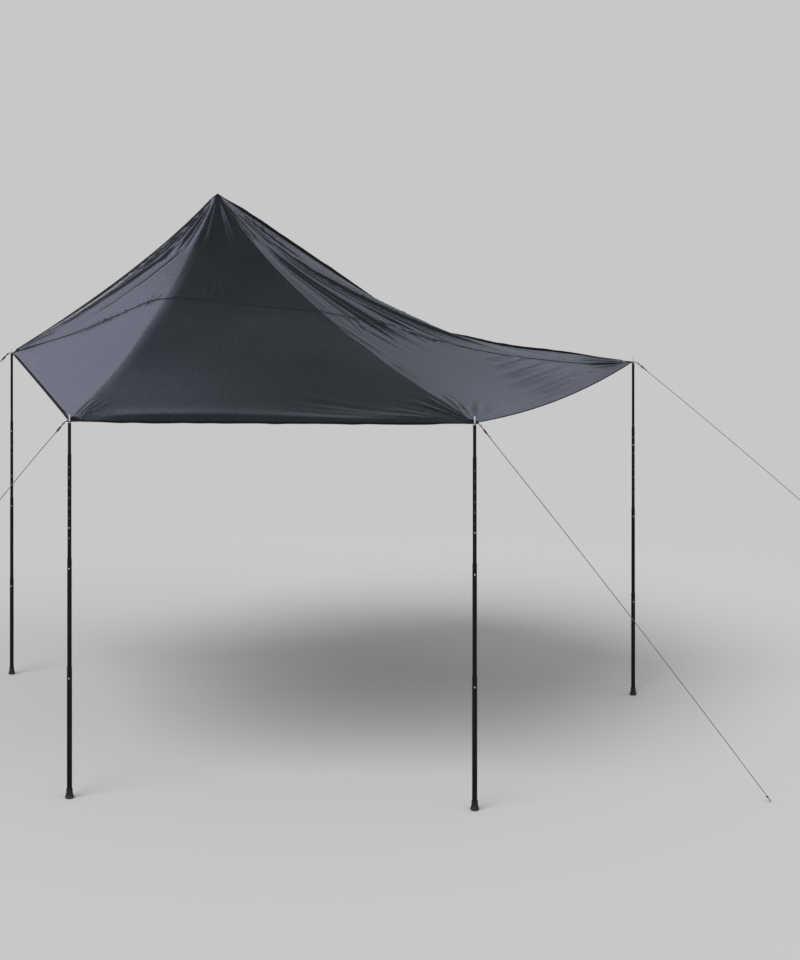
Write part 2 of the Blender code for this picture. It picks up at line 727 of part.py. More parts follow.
def settle(net, held):
    """Find the net's rest: an even stress in the cloth against pulls along edges and ridges."""
    rows, columns = held.shape
    number = np.arange(rows * columns).reshape(rows, columns)
    free = np.flatnonzero(~held)
    fixed = np.flatnonzero(held)
    shape = straight_net(net, held)
    left = slice(0, SIDE_CELLS)
    hem = slice(SIDE_CELLS + CORNER_CELLS, RIGHT_SIDE - CORNER_CELLS)
    right = slice(RIGHT_SIDE, COLUMNS)
    for turn in range(SETTLING_ROUNDS):
        down = np.maximum(np.linalg.norm(shape[1:] - shape[:-1], axis=2), 1e-4)
        along = np.maximum(np.linalg.norm(shape[:, 1:] - shape[:, :-1], axis=2), 1e-4)
        width = shared(along, 1)
        depth = shared(down, 0)
        pull_down = (width[1:] + width[:-1]) / 2 / down
        pull_along = (depth[:, 1:] + depth[:, :-1]) / 2 / along
        pull_down[:, LEFT_RIDGE] += LEFT_RIDGE_PULL / down[:, LEFT_RIDGE]
        pull_down[:, RIGHT_RIDGE] += RIGHT_RIDGE_PULL / down[:, RIGHT_RIDGE]
        add_pull(pull_along, along, -1, left, LEFT_EDGE_PULL)
        add_pull(pull_along, along, -1, hem, FRONT_HEM_PULL)
        add_pull(pull_along, along, -1, right, RIGHT_EDGE_PULL)
        add_pull(pull_along, along, 0, left, TENT_LEFT_EDGE_PULL)
        add_pull(pull_along, along, 0, right, TENT_RIGHT_EDGE_PULL)
        matrix = np.zeros((rows * columns, rows * columns))
        for near, far, pull in (
            (number[1:], number[:-1], pull_down),
            (number[:, 1:], number[:, :-1], pull_along),
        ):
            near, far, pull = near.ravel(), far.ravel(), pull.ravel()
            np.add.at(matrix, (near, near), pull)
            np.add.at(matrix, (far, far), pull)
            matrix[near, far] -= pull
            matrix[far, near] -= pull
        weight = np.zeros((rows, columns))
        weight[-1, left] = LEFT_EDGE_WEIGHT * width[-1, left]
        weight[-1, right] = RIGHT_EDGE_WEIGHT * width[-1, right]
        points = shape.reshape(-1, 3)
        load = -matrix[np.ix_(free, fixed)] @ points[fixed]
        load[:, 2] -= weight.ravel()[free]
        rest = np.linalg.solve(matrix[np.ix_(free, free)], load)
        step = 1.0 if turn == SETTLING_ROUNDS - 1 else SETTLING_STEP
        points[free] += step * (rest - points[free])
        shape = points.reshape(rows, columns, 3)
    return shape


def point_along(column, share):
    """Points at these shares of a column's length."""
    lengths = np.append(0.0, np.cumsum(np.linalg.norm(np.diff(column, axis=0), axis=1)))
    at = np.asarray(share) * lengths[-1]
    return np.stack([np.interp(at, lengths, column[:, axis]) for axis in range(3)], axis=-1)


def seam_share(column, start, end):
    """Where a column crosses the seam, which bows forward of the line between two corners."""
    line = end - start
    span = np.linalg.norm(line)
    line = line / span
    front = np.array([line[1], -line[0]])
    fine = point_along(column, np.linspace(0.0, 1.0, SEAM_SAMPLES + 1))[:, :2] - start
    position = np.clip(fine @ line / span, 0.0, 1.0)
    ahead = fine @ front - SEAM_BOW * np.sin(math.pi * position) ** 2
    crossing = np.flatnonzero((ahead[:-1] < 0) & (ahead[1:] >= 0))
    if not len(crossing):
        return SEAM_ROW / ROWS
    first = crossing[0]
    part = -ahead[first] / (ahead[first + 1] - ahead[first])
    return (first + part) / SEAM_SAMPLES


def spread_rows(shape):
    """Slide each column's points so that rows follow the hems and the seam."""
    start = corner_point(CORNERS["rear_left"])[:2]
    end = corner_point(CORNERS["rear_right"])[:2]
    even = 1 / ROWS
    shares = np.array([seam_share(shape[:, c], start, end) for c in range(COLUMNS + 1)])
    shares[[0, -1]] = SEAM_ROW * even
    shares[1:-1] = (shares[:-2] + 2 * shares[1:-1] + shares[2:]) / 4
    spread = shape.copy()
    for c in range(1, COLUMNS):
        length = np.linalg.norm(np.diff(shape[:, c], axis=0), axis=1).sum()
        hem = min(HEM_WIDTH / length, even)
        seam = min(max(shares[c], 3 * hem), 1 - 3 * hem)
        upper = np.linspace(hem, seam, SEAM_ROW)
        lower = np.linspace(seam, 1 - hem, ROWS - SEAM_ROW)
        rows = np.concatenate([[0.0], upper, lower[1:], [1.0]])
        spread[:, c] = point_along(shape[:, c], rows)
    return spread


def net_normals(net):
    along = np.gradient(net, axis=1)
    down = np.gradient(net, axis=0)
    normals = np.cross(down, along)
    normals /= np.maximum(np.linalg.norm(normals, axis=2, keepdims=True), 1e-9)
    if normals[..., 2].mean() < 0:
        normals = -normals
    return normals


def cloth_panel(name, net, normals, thickness, awning):
    """A closed sheet: the net raised and lowered by half the thickness, with a rim."""
    rows, columns = net.shape[:2]
    half = normals * thickness[:, None, None] / 2
    vertices = np.concatenate([(net + half).reshape(-1, 3), (net - half).reshape(-1, 3)])
    number = np.arange(rows * columns).reshape(rows, columns)
    under = rows * columns
    faces = []
    for r in range(rows - 1):
        for c in range(columns - 1):
            a, b = int(number[r, c]), int(number[r, c + 1])
            d, e = int(number[r + 1, c]), int(number[r + 1, c + 1])
            faces += [(a, d, e), (a, e, b), (a + under, e + under, d + under), (a + under, b + under, e + under)]
    rim = [*number[0], *number[1:, -1], *number[-1, -2::-1], *number[-2:0:-1, 0]]
    for a, b in zip(rim, rim[1:] + rim[:1]):
        a, b = int(a), int(b)
        faces += [(a, b, b + under), (a, b + under, a + under)]
    return link(name, mesh_from(name, vertices, faces, 60), dark_cloth(), awning)


def canopy(awning):
    """The two cloth widths, joined along the seam between the rear corners."""
    net, held = held_points()
    net = spread_rows(settle(net, held))
    normals = net_normals(net)
    thickness = np.full(ROWS + 1, CLOTH_THICKNESS)
    thickness[[0, 1, -2, -1]] = HEM_THICKNESS
    apart = CLOTH_GAP / 2
    upper = net[:SEAM_ROW + 1].copy()
    lower = net[SEAM_ROW:].copy()
    for panel, edge, inner in ((upper, -1, -2), (lower, 0, 1)):
        inward = panel[inner] - panel[edge]
        panel[edge] += apart * inward / np.linalg.norm(inward, axis=1, keepdims=True)
    cloth_panel("upper_canopy_panel", upper, normals[:SEAM_ROW + 1], thickness[:SEAM_ROW + 1], awning)
    cloth_panel("lower_canopy_panel", lower, normals[SEAM_ROW:], thickness[SEAM_ROW:], awning)
    return net, normals


def trim(net, centre, reach):
    """The cut edge of a patch: the cloth's edge drawn back towards the patch's centre."""
    away = net - centre
    return centre + away * reach / (reach + CLOTH_GAP)


def tent_welt(name, net, awning):
    """The round cord in the edge that slides into the tent's rail."""
    edge = net[0, RIGHT_SIDE:RIGHT_SIDE + TENT_EDGE_CELLS + 1]
    start, end = edge[0], edge[-1]
    line = unit(end - start)
    inward = net[1, RIGHT_SIDE + 2] - edge[2]
    inward = unit(inward - line * (inward @ line))
    radius = WELT_DIAMETER / 2
    offset = -inward * (radius + CLOTH_GAP)
    length = float(np.linalg.norm(end - start))
    blunt = radius - WELT_BEVEL
    profile = [(0.0, 0.0), (blunt, 0.0), (radius, WELT_BEVEL), (radius, length - WELT_BEVEL),
               (blunt, length), (0.0, length)]
    obj = link(name, turned(name, profile, 16), webbing(), awning, tuple(start + offset))
    obj.rotation_mode = "QUATERNION"
    obj.rotation_quaternion = Vector(line).to_track_quat("Z", "Y")
    return obj


# Guy lines

def smooth_route(points, count):
    """Points read from a smooth curve through the route's own points."""
    points = np.array(points)
    ends = np.vstack([2 * points[0] - points[1], points, 2 * points[-1] - points[-2]])
    lengths = np.append(0.0, np.cumsum(np.linalg.norm(np.diff(points, axis=0), axis=1)))
    route = []
    for at in count:
        i = min(int(np.searchsorted(lengths, at, side="right")) - 1, len(points) - 2)
        t = (at - lengths[i]) / (lengths[i + 1] - lengths[i])
        a, b, c, d = ends[i:i + 4]
        route.append(0.5 * (2 * b + (c - a) * t + (2 * a - 5 * b + 4 * c - d) * t**2
                            + (3 * b - a - 3 * c + d) * t**3))
    return np.array(route), lengths[-1]


def line_reach(spec):
    """Length of a line from the webbing's eye to its knot."""
    if spec["reach"] is not None:
        return spec["reach"]
    slope = math.radians(spec["slope"])
    radius = LINE_DIAMETER / 2
    height = loop_eye(spec)[2] - GROUND_GAP - radius * math.cos(slope)
    past_line = TOUCH_GAP + KNOT_LENGTH - END_RING_SUNK + 2 * END_RING_RADIUS + radius
    return height / math.sin(slope) - past_line


def line_route(spec):
    """A route: tail, up through the slider, round the webbing's eye and down to the end."""
    out, along, across = line_axes(spec)
    eye = loop_eye(spec)
    side = LINE_TURN_RADIUS
    lift = np.cross(across, along)
    reach = line_reach(spec)
    # The turn's centre, where the line just clears the eye's wall at the webbing's two sides
    upright = math.sqrt(side**2 - (LOOP_WIDTH / 2) ** 2)
    wall = LOOP_EYE_DIAMETER / 2 * math.cos(math.pi / LOOP_ROUNDS)
    centre = wall - LINE_SEAT_GAP + upright - LINE_DIAMETER / 2 * side / upright
    # Each point is a distance along the line, across it, and above it
    points = [
        (LINE_TAIL, -side - LINE_TAIL_SPREAD, -LINE_TAIL_DROP),
        (LINE_TAIL - LINE_TAIL_END, -side - LINE_TAIL_SPREAD * 0.4, -LINE_TAIL_DROP * 0.4),
        (SLIDER_START + SLIDER_LENGTH, -side, 0.0),
        (SLIDER_START, -side, 0.0),
        (centre + LINE_STRAIGHT, -side, 0.0),
    ]
    for angle in np.linspace(0.0, math.pi, LINE_TURN_POINTS):
        points.append((centre - side * math.sin(angle), -side * math.cos(angle), 0.0))
    points += [
        (centre + LINE_STRAIGHT, side, 0.0),
        (SLIDER_START, side, 0.0),
        (SLIDER_START + SLIDER_LENGTH, side, 0.0),
    ]
    sag = LINE_SAG * reach
    begin = SLIDER_START + SLIDER_LENGTH
    for share in (0.2, 0.4, 0.6, 0.8, 1.0):
        drop = sag * 4 * share * (1 - share)
        points.append((begin + (reach - begin) * share, side, -drop))
    return [eye + along * u + across * v + lift * w for u, v, w in points]


def guy_line(name, spec, awning):
    route = line_route(spec)
    _, length = smooth_route(route, [0.0])
    # Close points round the turn in the webbing's eye, and wide ones along the straight runs
    turn_start = LINE_TAIL - LINE_TURN_RADIUS - LINE_STRAIGHT
    turn_end = turn_start + math.pi * LINE_TURN_RADIUS + 2 * LINE_STRAIGHT
    stations = np.concatenate([
        np.linspace(0.0, turn_start, 5)[:-1],
        np.linspace(turn_start, turn_end, LINE_TURN_POINTS),
        np.linspace(turn_end, length, 3 + int(length / LINE_POINT_SPACING))[1:],
    ])
    points, _ = smooth_route(route, stations)
    curve = bpy.data.curves.new(name, "CURVE")
    curve.dimensions = "3D"
    curve.bevel_depth = LINE_DIAMETER / 2
    curve.bevel_resolution = 2
    curve.use_fill_caps = True
    curve.twist_mode = "MINIMUM"
    spline = curve.splines.new("POLY")
    spline.points.add(len(points) - 1)
    centre = corner_point(spec)
    for target, point in zip(spline.points, points):
        target.co = (*(point - centre), 1.0)
    link(name, curve, grey_cord(), awning, tuple(centre))
    return length


def line_slider(name, spec, awning):
    """A block with two bores that grips the line against its own tail."""
    _, along, across = line_axes(spec)
    lift = np.cross(across, along)
    bore = (LINE_DIAMETER / 2 + SLIDER_BORE_CLEARANCE) / math.cos(math.pi / 12)
    half = SLIDER_THICKNESS / 2
    flat = SLIDER_WIDTH / 2 - half
    outline = [(flat + half * math.cos(a), half * math.sin(a)) for a in np.linspace(-math.pi / 2, math.pi / 2, 9)]
    outline += [(-x, -y) for x, y in outline]
    holes = [circle(bore, 12, (side, 0.0)) for side in (LINE_TURN_RADIUS, -LINE_TURN_RADIUS)]
    mesh = plate(name, outline, holes, SLIDER_LENGTH)
    frame = Matrix([
        (across[i], lift[i], along[i], 0.0) for i in range(3)
    ] + [(0.0, 0.0, 0.0, 1.0)])
    mesh.transform(frame)
    if frame.to_3x3().determinant() < 0:
        mesh.flip_normals()
    at = loop_eye(spec) + along * SLIDER_START
    link(name, mesh, black_plastic(), awning, tuple(at))


def line_end(name, spec, awning):
    """A knot with a tied loop past it, where the line is held."""
    _, along, across = line_axes(spec)
    lift = np.cross(across, along)
    length = KNOT_LENGTH
    radius = KNOT_DIAMETER / 2
    steps = 6
    profile = [(0.0, 0.0)]
    for i in range(1, steps):
        angle = math.pi * i / steps
        profile.append((radius * math.sin(angle), length / 2 * (1 - math.cos(angle))))
    profile.append((0.0, length))
    frame = Matrix([(across[i], lift[i], along[i], 0.0) for i in range(3)] + [(0.0, 0.0, 0.0, 1.0)])
    knot = turned(name, profile, 10)
    knot.transform(frame)
    if frame.to_3x3().determinant() < 0:
        knot.flip_normals()
    at = loop_eye(spec) + along * (line_reach(spec) + TOUCH_GAP) + across * LINE_TURN_RADIUS
    obj = link(name, knot, grey_cord(), awning, tuple(at))
    thin = LINE_DIAMETER / 2
    around, section = END_RING_TURNS, END_RING_SIDES
    middle = length + END_RING_RADIUS - END_RING_SUNK
    vertices, faces = [], []
    for i in range(around):
        a = 2 * math.pi * i / around
        for j in range(section):
            b = 2 * math.pi * j / section
            r = END_RING_RADIUS + thin * math.cos(b)
            vertices.append((r * math.cos(a), thin * math.sin(b), middle + r * math.sin(a)))
    for i in range(around):
        for j in range(section):
            k, m = (i + 1) % around, (j + 1) % section
            faces.append((i * section + j, k * section + j, k * section + m, i * section + m))
    ring = mesh_from(f"add_{name}", vertices, faces)
    ring.transform(frame)
    if frame.to_3x3().determinant() < 0:
        ring.flip_normals()
    combine(obj, cutter(f"add_{name}", ring, awning, tuple(at)), "UNION")


# Assembly

def is_on_a_line(name):
    return name.endswith(("_line", "_slider", "_line_end"))


def stand_on_origin(awning):
    """Move everything so that the origin is under the middle of what isn't a guy line."""
    bpy.context.view_layer.update()
    graph = bpy.context.evaluated_depsgraph_get()
    low, high = np.full(3, np.inf), np.full(3, -np.inf)
    for obj in bpy.context.scene.objects:
        if obj.type != "MESH" or obj.hide_render or is_on_a_line(obj.name):
            continue
        shape = obj.evaluated_get(graph)
        corners = np.array([shape.matrix_world @ v.co for v in shape.data.vertices])
        low = np.minimum(low, corners.min(axis=0))
        high = np.maximum(high, corners.max(axis=0))
    middle = (low + high) / 2
    awning.location = (-middle[0], -middle[1], -low[2])
    bpy.context.view_layer.update()


def main():
    for obj in list(bpy.data.objects):
        bpy.data.objects.remove(obj)
    awning = link("awning", None, None, None)
    net, normals = canopy(awning)
    arcs = {
        "rear_left": (slice(None), 0),
        "front_left": (-1, slice(SIDE_CELLS, SIDE_CELLS + CORNER_CELLS + 1)),
        "front_right": (-1, slice(RIGHT_SIDE - CORNER_CELLS, RIGHT_SIDE + 1)),
        "rear_right": (slice(None), -1),
    }
    for corner, spec in CORNERS.items():
        build_pole(corner, spec, awning)
        eyelet(f"{corner}_eyelet", spec, awning)
        arc = trim(net[arcs[corner]], corner_point(spec), CORNER_PATCH_REACH)
        corner_patch(f"{corner}_corner_patch", spec, arc, normals[arcs[corner]], awning)
        length = guy_line(f"{corner}_guy_line", spec, awning)
        line_slider(f"{corner}_line_slider", spec, awning)
        line_end(f"{corner}_line_end", spec, awning)
        print(f"{corner}: pole {pole_height(spec['hole']):.3f} m, guy line {length:.3f} m")
    fan = trim(net[0, SIDE_CELLS:RIGHT_SIDE + 1], np.array(PEAK), PEAK_PATCH_REACH)
    peak_patch("peak_patch", fan, normals[0, SIDE_CELLS:RIGHT_SIDE + 1], awning)
    tent_welt("tent_welt", net, awning)
    stand_on_origin(awning)
    print("moved by", tuple(round(v, 5) for v in awning.location))


main()
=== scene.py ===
# Rooftop tent awning. One tensioned cloth hangs between the tent's edge and four telescoping
# poles, and a guy line runs out from each corner. Metres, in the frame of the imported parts.
import math

import bmesh
import bpy
import numpy as np
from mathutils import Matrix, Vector


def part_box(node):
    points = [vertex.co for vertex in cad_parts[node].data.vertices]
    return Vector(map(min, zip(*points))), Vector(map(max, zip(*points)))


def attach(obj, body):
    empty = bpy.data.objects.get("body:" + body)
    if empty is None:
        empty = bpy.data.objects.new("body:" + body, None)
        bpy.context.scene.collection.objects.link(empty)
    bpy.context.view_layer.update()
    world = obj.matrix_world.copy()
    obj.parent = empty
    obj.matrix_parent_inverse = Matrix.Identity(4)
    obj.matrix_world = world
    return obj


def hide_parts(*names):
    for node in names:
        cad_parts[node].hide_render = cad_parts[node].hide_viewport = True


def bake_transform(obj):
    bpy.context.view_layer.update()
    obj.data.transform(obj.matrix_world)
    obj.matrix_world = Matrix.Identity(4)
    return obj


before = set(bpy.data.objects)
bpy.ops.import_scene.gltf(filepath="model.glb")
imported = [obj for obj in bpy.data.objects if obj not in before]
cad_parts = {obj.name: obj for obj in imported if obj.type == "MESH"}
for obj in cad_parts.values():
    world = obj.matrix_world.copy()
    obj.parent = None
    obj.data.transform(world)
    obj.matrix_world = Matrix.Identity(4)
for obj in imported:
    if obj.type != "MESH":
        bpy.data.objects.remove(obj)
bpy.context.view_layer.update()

print("frame loaded:", len(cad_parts), "parts")

# Camera

cameraPlan = {
    "place": (0.5662, -8.5636, 2.298),
    "lens": 52.5,             # on a 36 mm side, which is 1400 pixels on the 960 pixel side
    "sensor": 36.0,
    "shift": -148.0 / 960.0,  # the horizon stands 148 pixels above the middle row
}


def makeCamera(plan):
    # Level and looking along +Y, so that upright poles stay upright in the picture
    data = bpy.data.cameras.new("camera")
    data.lens = plan["lens"]
    data.sensor_width = plan["sensor"]
    data.shift_y = plan["shift"]
    data.clip_end = 200.0
    camera = bpy.data.objects.new("camera", data)
    camera.location = plan["place"]
    camera.rotation_euler = (math.pi / 2, 0.0, 0.0)
    bpy.context.scene.collection.objects.link(camera)
    bpy.context.scene.camera = camera


makeCamera(cameraPlan)


# Arrays and meshes

def unit(vectors):
    # Each vector over its own length
    return vectors / np.maximum(np.linalg.norm(vectors, axis=-1, keepdims=True), 1e-12)


def smoothStep(value):
    # Rises from 0 to 1 as 3 v squared less 2 v cubed
    value = np.clip(value, 0.0, 1.0)
    return value * value * (3.0 - 2.0 * value)


def boxOf(node):
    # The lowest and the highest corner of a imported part
    low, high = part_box(node)
    return np.array(low), np.array(high)


def gridCorners(rows, columns, wrapRows=False, wrapColumns=False):
    # Row and column of each cell's four corners in a grid, counting up past a closing seam
    r, c = np.meshgrid(np.arange(rows - (not wrapRows)), np.arange(columns - (not wrapColumns)), indexing="ij")
    return np.stack([r, r, r + 1, r + 1], axis=-1), np.stack([c, c + 1, c + 1, c], axis=-1)


def gridFaces(rows, columns, wrapRows=False, wrapColumns=False):
    # One four-sided face for each of those cells, with the points numbered row by row
    r, c = gridCorners(rows, columns, wrapRows, wrapColumns)
    return (r % rows * columns + c % columns).reshape(-1, 4)


def endCaps(rows, columns):
    # The first and the last row of points, each as one face
    return np.arange(columns)[::-1], (rows - 1) * columns + np.arange(columns)


def circle(sides):
    # Cosine and sine of evenly spaced angles round a full turn
    angle = 2.0 * math.pi * np.arange(sides) / sides
    return np.stack([np.cos(angle), np.sin(angle)], axis=-1)


def squaredCircle(sides, power):
    # The same with both taken to a power below one, which squares the circle off
    ring = circle(sides)
    return np.sign(ring) * np.abs(ring) ** power


def shellOf(points, faces, caps=(), uv=None):
    # One closed skin: its points, four-sided faces, end caps, and a flat place for each corner
    corners = np.zeros((faces.size, 2)) if uv is None else uv.reshape(-1, 2)
    spare = sum(len(cap) for cap in caps)
    return {
        "points": np.asarray(points, float).reshape(-1, 3),
        "faces": np.asarray(faces),
        "caps": [np.asarray(cap) for cap in caps],
        "corners": np.vstack([corners, np.zeros((spare, 2))]),
    }


def makeMesh(name, shells, sharpAngle=50.0):
    # All skins in one mesh, with every face turned outwards
    faces, start = [], 0
    for skin in shells:
        faces += (skin["faces"] + start).tolist() + [(cap + start).tolist() for cap in skin["caps"]]
        start += len(skin["points"])
    mesh = bpy.data.meshes.new(name)
    mesh.from_pydata(np.vstack([skin["points"] for skin in shells]).tolist(), [], faces)
    layer = mesh.uv_layers.new(name="flat")
    layer.data.foreach_set("uv", np.vstack([skin["corners"] for skin in shells]).ravel())
    work = bmesh.new()
    work.from_mesh(mesh)
    bmesh.ops.recalc_face_normals(work, faces=work.faces[:])
    if work.calc_volume(signed=True) < 0.0:
        bmesh.ops.reverse_faces(work, faces=work.faces[:])
    work.to_mesh(mesh)
    work.free()
    mesh.shade_smooth()
    mesh.set_sharp_from_angle(angle=math.radians(sharpAngle))
    return mesh


def makePiece(name, shells, material, replaced=(), sharpAngle=50.0, body="canopy", bend=None):
    # A mesh or a list of skins as one object. It rides on a body, or where a bend
    # is given, on none.
    mesh = shells if isinstance(shells, bpy.types.Mesh) else makeMesh(name, shells, sharpAngle)
    if not mesh.materials:
        mesh.materials.append(material)
    piece = bpy.data.objects.new(name, mesh)
    bpy.context.scene.collection.objects.link(piece)
    if bend:
        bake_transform(piece)
    else:
        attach(piece, body)
    if replaced:
        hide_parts(*replaced)
    return piece


def turned(profile, sides, axis, closed=False, height=None):
    # Radius and height spun about an upright axis, or where a height is given, radius and depth
    # spun about a level axis that runs to the front. An open profile is capped at both ends.
    profile = np.array(profile, float)
    ring = profile[:, :1, None] * circle(sides)
    far = np.repeat(profile[:, 1:], sides, axis=1)
    x = axis[0] + ring[..., 0]
    if height is None:
        points = np.stack([x, axis[1] + ring[..., 1], far], axis=-1)
    else:
        points = np.stack([x, axis[1] - far, height + ring[..., 1]], axis=-1)
    faces = gridFaces(len(profile), sides, wrapRows=closed, wrapColumns=True)
    return shellOf(points, faces, () if closed else endCaps(len(profile), sides))


def rounded(points, radius, steps=5):
    # Each inner point of an open profile gives way to a quadratic curve between two points
    # that lie the radius away from it along its two sides
    points = np.array(points, float)
    before, here, after = points[:-2], points[1:-1], points[2:]
    radius = np.broadcast_to(radius, len(here))[:, None]
    first, second = before - here, after - here
    near = here + unit(first) * np.minimum(radius, np.linalg.norm(first, axis=1, keepdims=True) * 0.45)
    far = here + unit(second) * np.minimum(radius, np.linalg.norm(second, axis=1, keepdims=True) * 0.45)
    t = np.linspace(0.0, 1.0, steps)[None, :, None]
    curve = (1 - t) ** 2 * near[:, None] + 2 * t * (1 - t) * here[:, None] + t ** 2 * far[:, None]
    return np.vstack([points[:1], curve.reshape(-1, 2), points[-1:]])


def carried(path, profile, reference, closed=False):
    # A profile carried along a path: its two coordinates run sideways and upwards from it
    if closed:
        tangent = unit(np.roll(path, -1, axis=0) - np.roll(path, 1, axis=0))
    else:
        tangent = unit(np.gradient(path, axis=0))
    side = unit(np.cross(tangent, reference))
    up = np.cross(side, tangent)
    profile = np.broadcast_to(profile, (len(path),) + profile.shape[-2:])
    return path[:, None] + profile[..., :1] * side[:, None] + profile[..., 1:] * up[:, None]


def lengthsOf(path):
    # Distance from the start of a path to each of its points
    return np.append(0.0, np.cumsum(np.linalg.norm(np.diff(path, axis=0), axis=1)))


def readAt(at, lengths, values):
    # What is known at some lengths of a path, read at others
    return np.stack([np.interp(at, lengths, values[:, axis]) for axis in range(3)], axis=-1)


def evenly(path, spacing):
    # The path's points set anew at even distances
    lengths = lengthsOf(path)
    return readAt(np.linspace(0.0, lengths[-1], max(2, int(round(lengths[-1] / spacing)) + 1)), lengths, path)


def cubicAt(points, slope, gap, i, t):
    # From point i to the next one on the cubic that has these slopes at both
    return ((2 * t ** 3 - 3 * t ** 2 + 1) * points[i] + (t ** 3 - 2 * t ** 2 + t) * gap[i] * slope[i]
            + (3 * t ** 2 - 2 * t ** 3) * points[i + 1] + (t ** 3 - t ** 2) * gap[i] * slope[i + 1])


def tubeShell(grid, lengths, girth):
    # A carried profile closed round itself, with a cap on either end
    rows, columns = grid.shape[:2]
    r, c = gridCorners(rows, columns, wrapColumns=True)
    uv = np.stack([c / columns * girth, lengths[r]], axis=-1)
    return shellOf(grid, gridFaces(rows, columns, wrapColumns=True), endCaps(rows, columns), uv)


# Materials

def colour(code):
    # sRGB hex to linear: below 0.04045 a twelfth, above it the 2.4 power curve
    value = np.array([int(code[i:i + 2], 16) for i in (1, 3, 5)]) / 255.0
    linear = np.where(value <= 0.04045, value / 12.92, ((value + 0.055) / 1.055) ** 2.4)
    return (*map(float, linear), 1.0)


def addNode(tree, kind, inputs=None, **settings):
    # A node with its settings, and its inputs given as values or as another node's output
    made = tree.nodes.new("ShaderNode" + kind)
    for key, value in settings.items():
        setattr(made, key, value)
    for key, value in (inputs or {}).items():
        if isinstance(value, bpy.types.NodeSocket):
            tree.links.new(value, made.inputs[key])
        else:
            made.inputs[key].default_value = value
    return made


def newMaterial(name, roughness, metallic=0.0, coat=0.0, sheen=0.0, level=0.5):
    # A shader with its even settings, and the object's own places for its patterns
    material = bpy.data.materials.new(name)
    material.use_nodes = True
    tree = material.node_tree
    shader = tree.nodes["Principled BSDF"]
    for key, value in (("Roughness", roughness), ("Metallic", metallic), ("Coat Weight", coat),
                       ("Sheen Weight", sheen), ("Specular IOR Level", level)):
        shader.inputs[key].default_value = value
    place = addNode(tree, "TexCoord").outputs["Object"]
    return material, tree, shader, place


def finished(tree, shader, share, first, second, relief=None, depth=0.0, strength=0.5, gloss=None):
    # The colour goes from the first to the second with a pattern's share, the surface stands
    # up by the depth with the relief, and the roughness runs between the gloss's two numbers
    tone = addNode(tree, "Mix", {0: share, 6: first, 7: second}, data_type="RGBA").outputs[2]
    tree.links.new(tone, shader.inputs["Base Color"])
    if relief:
        height = addNode(tree, "Bump", {"Height": relief, "Distance": depth, "Strength": strength})
        tree.links.new(height.outputs[0], shader.inputs["Normal"])
    if gloss:
        pattern, low, high = gloss
        rough = addNode(tree, "MapRange", {0: pattern, 1: 0.3, 2: 0.7, 3: low, 4: high})
        tree.links.new(rough.outputs[0], shader.inputs["Roughness"])


waveStep = 0.31416  # a wave texture repeats every 0.314 over its scale
clothPlan = {
    "colour": "#1a2223", "dust": "#232b2d", "roughness": 0.30, "coatRoughness": 0.26, "sheenTint": "#a8b0d0",
    "thread": 0.0012,  # real threads stand 0.3 mm apart, drawn coarser so that they show
    "threadTones": (0.86, 1.08), "bump": 0.00012,
    "patches": 2.2, "grain": 90.0,  # noise cells in a metre: 0.45 m patches, 11 mm blotches of gloss
}


def makeClothMaterial(plan):
    # Polyester woven plain and coated on the back: a dark, slightly blue grey with a soft
    # even gloss, a faint grid of threads, and a little dust that makes it patchy
    material, tree, shader, place = newMaterial("coatedPolyester", plan["roughness"], coat=0.4, sheen=0.04)
    shader.inputs["Coat Roughness"].default_value = plan["coatRoughness"]
    shader.inputs["Sheen Tint"].default_value = colour(plan["sheenTint"])
    flat = addNode(tree, "UVMap", uv_map="flat").outputs[0]
    warp, weft = (addNode(tree, "TexWave", {"Vector": flat, "Scale": waveStep / plan["thread"]},
                          bands_direction=way).outputs[1] for way in "XY")
    weave = addNode(tree, "Math", {0: warp, 1: weft}, operation="MULTIPLY").outputs[0]
    patches = addNode(tree, "TexNoise", {"Vector": place, "Scale": plan["patches"], "Detail": 4.0}).outputs[0]
    grain = addNode(tree, "TexNoise", {"Vector": place, "Scale": plan["grain"], "Detail": 3.0}).outputs[0]
    share = addNode(tree, "MapRange", {0: patches, 1: 0.35, 2: 0.75, 3: 0.0, 4: 0.7}).outputs[0]
    # Each end of the dust's range is made darker or lighter by the weave
    ends = []
    for shown in (plan["colour"], plan["dust"]):
        dark, light = ([*(part * tone for part in colour(shown)[:3]), 1.0] for tone in plan["threadTones"])
        ends.append(addNode(tree, "Mix", {0: weave, 6: dark, 7: light}, data_type="RGBA").outputs[2])
    finished(tree, shader, share, *ends, weave, plan["bump"], 0.6,
             (grain, plan["roughness"] - 0.04, plan["roughness"] + 0.06))
    return material


webbingPlan = {
    "colour": "#0b0c0d", "light": "#141517", "roughness": 0.85,
    "rib": 0.0016,  # ribs of woven polyester tape, in metres
    "bump": 0.00035, "fibre": 900.0,
}


def makeWebbingMaterial(name, plan):
    # Polyester tape, woven with ribs across it: black, dull, with a pale edge on each rib
    material, tree, shader, place = newMaterial(name, plan["roughness"], level=0.2)
    flat = addNode(tree, "UVMap", uv_map="flat").outputs[0]
    ribs = addNode(tree, "TexWave", {"Vector": flat, "Scale": waveStep / plan["rib"], "Distortion": 0.4},
                   bands_direction="Y").outputs[1]
    fibre = addNode(tree, "TexNoise", {"Vector": place, "Scale": plan["fibre"], "Detail": 2.0}).outputs[0]
    relief = addNode(tree, "Math", {0: fibre, 1: 0.35, 2: ribs}, operation="MULTIPLY_ADD").outputs[0]
    finished(tree, shader, ribs, colour(plan["colour"]), colour(plan["light"]), relief, plan["bump"], 0.7)
    return material


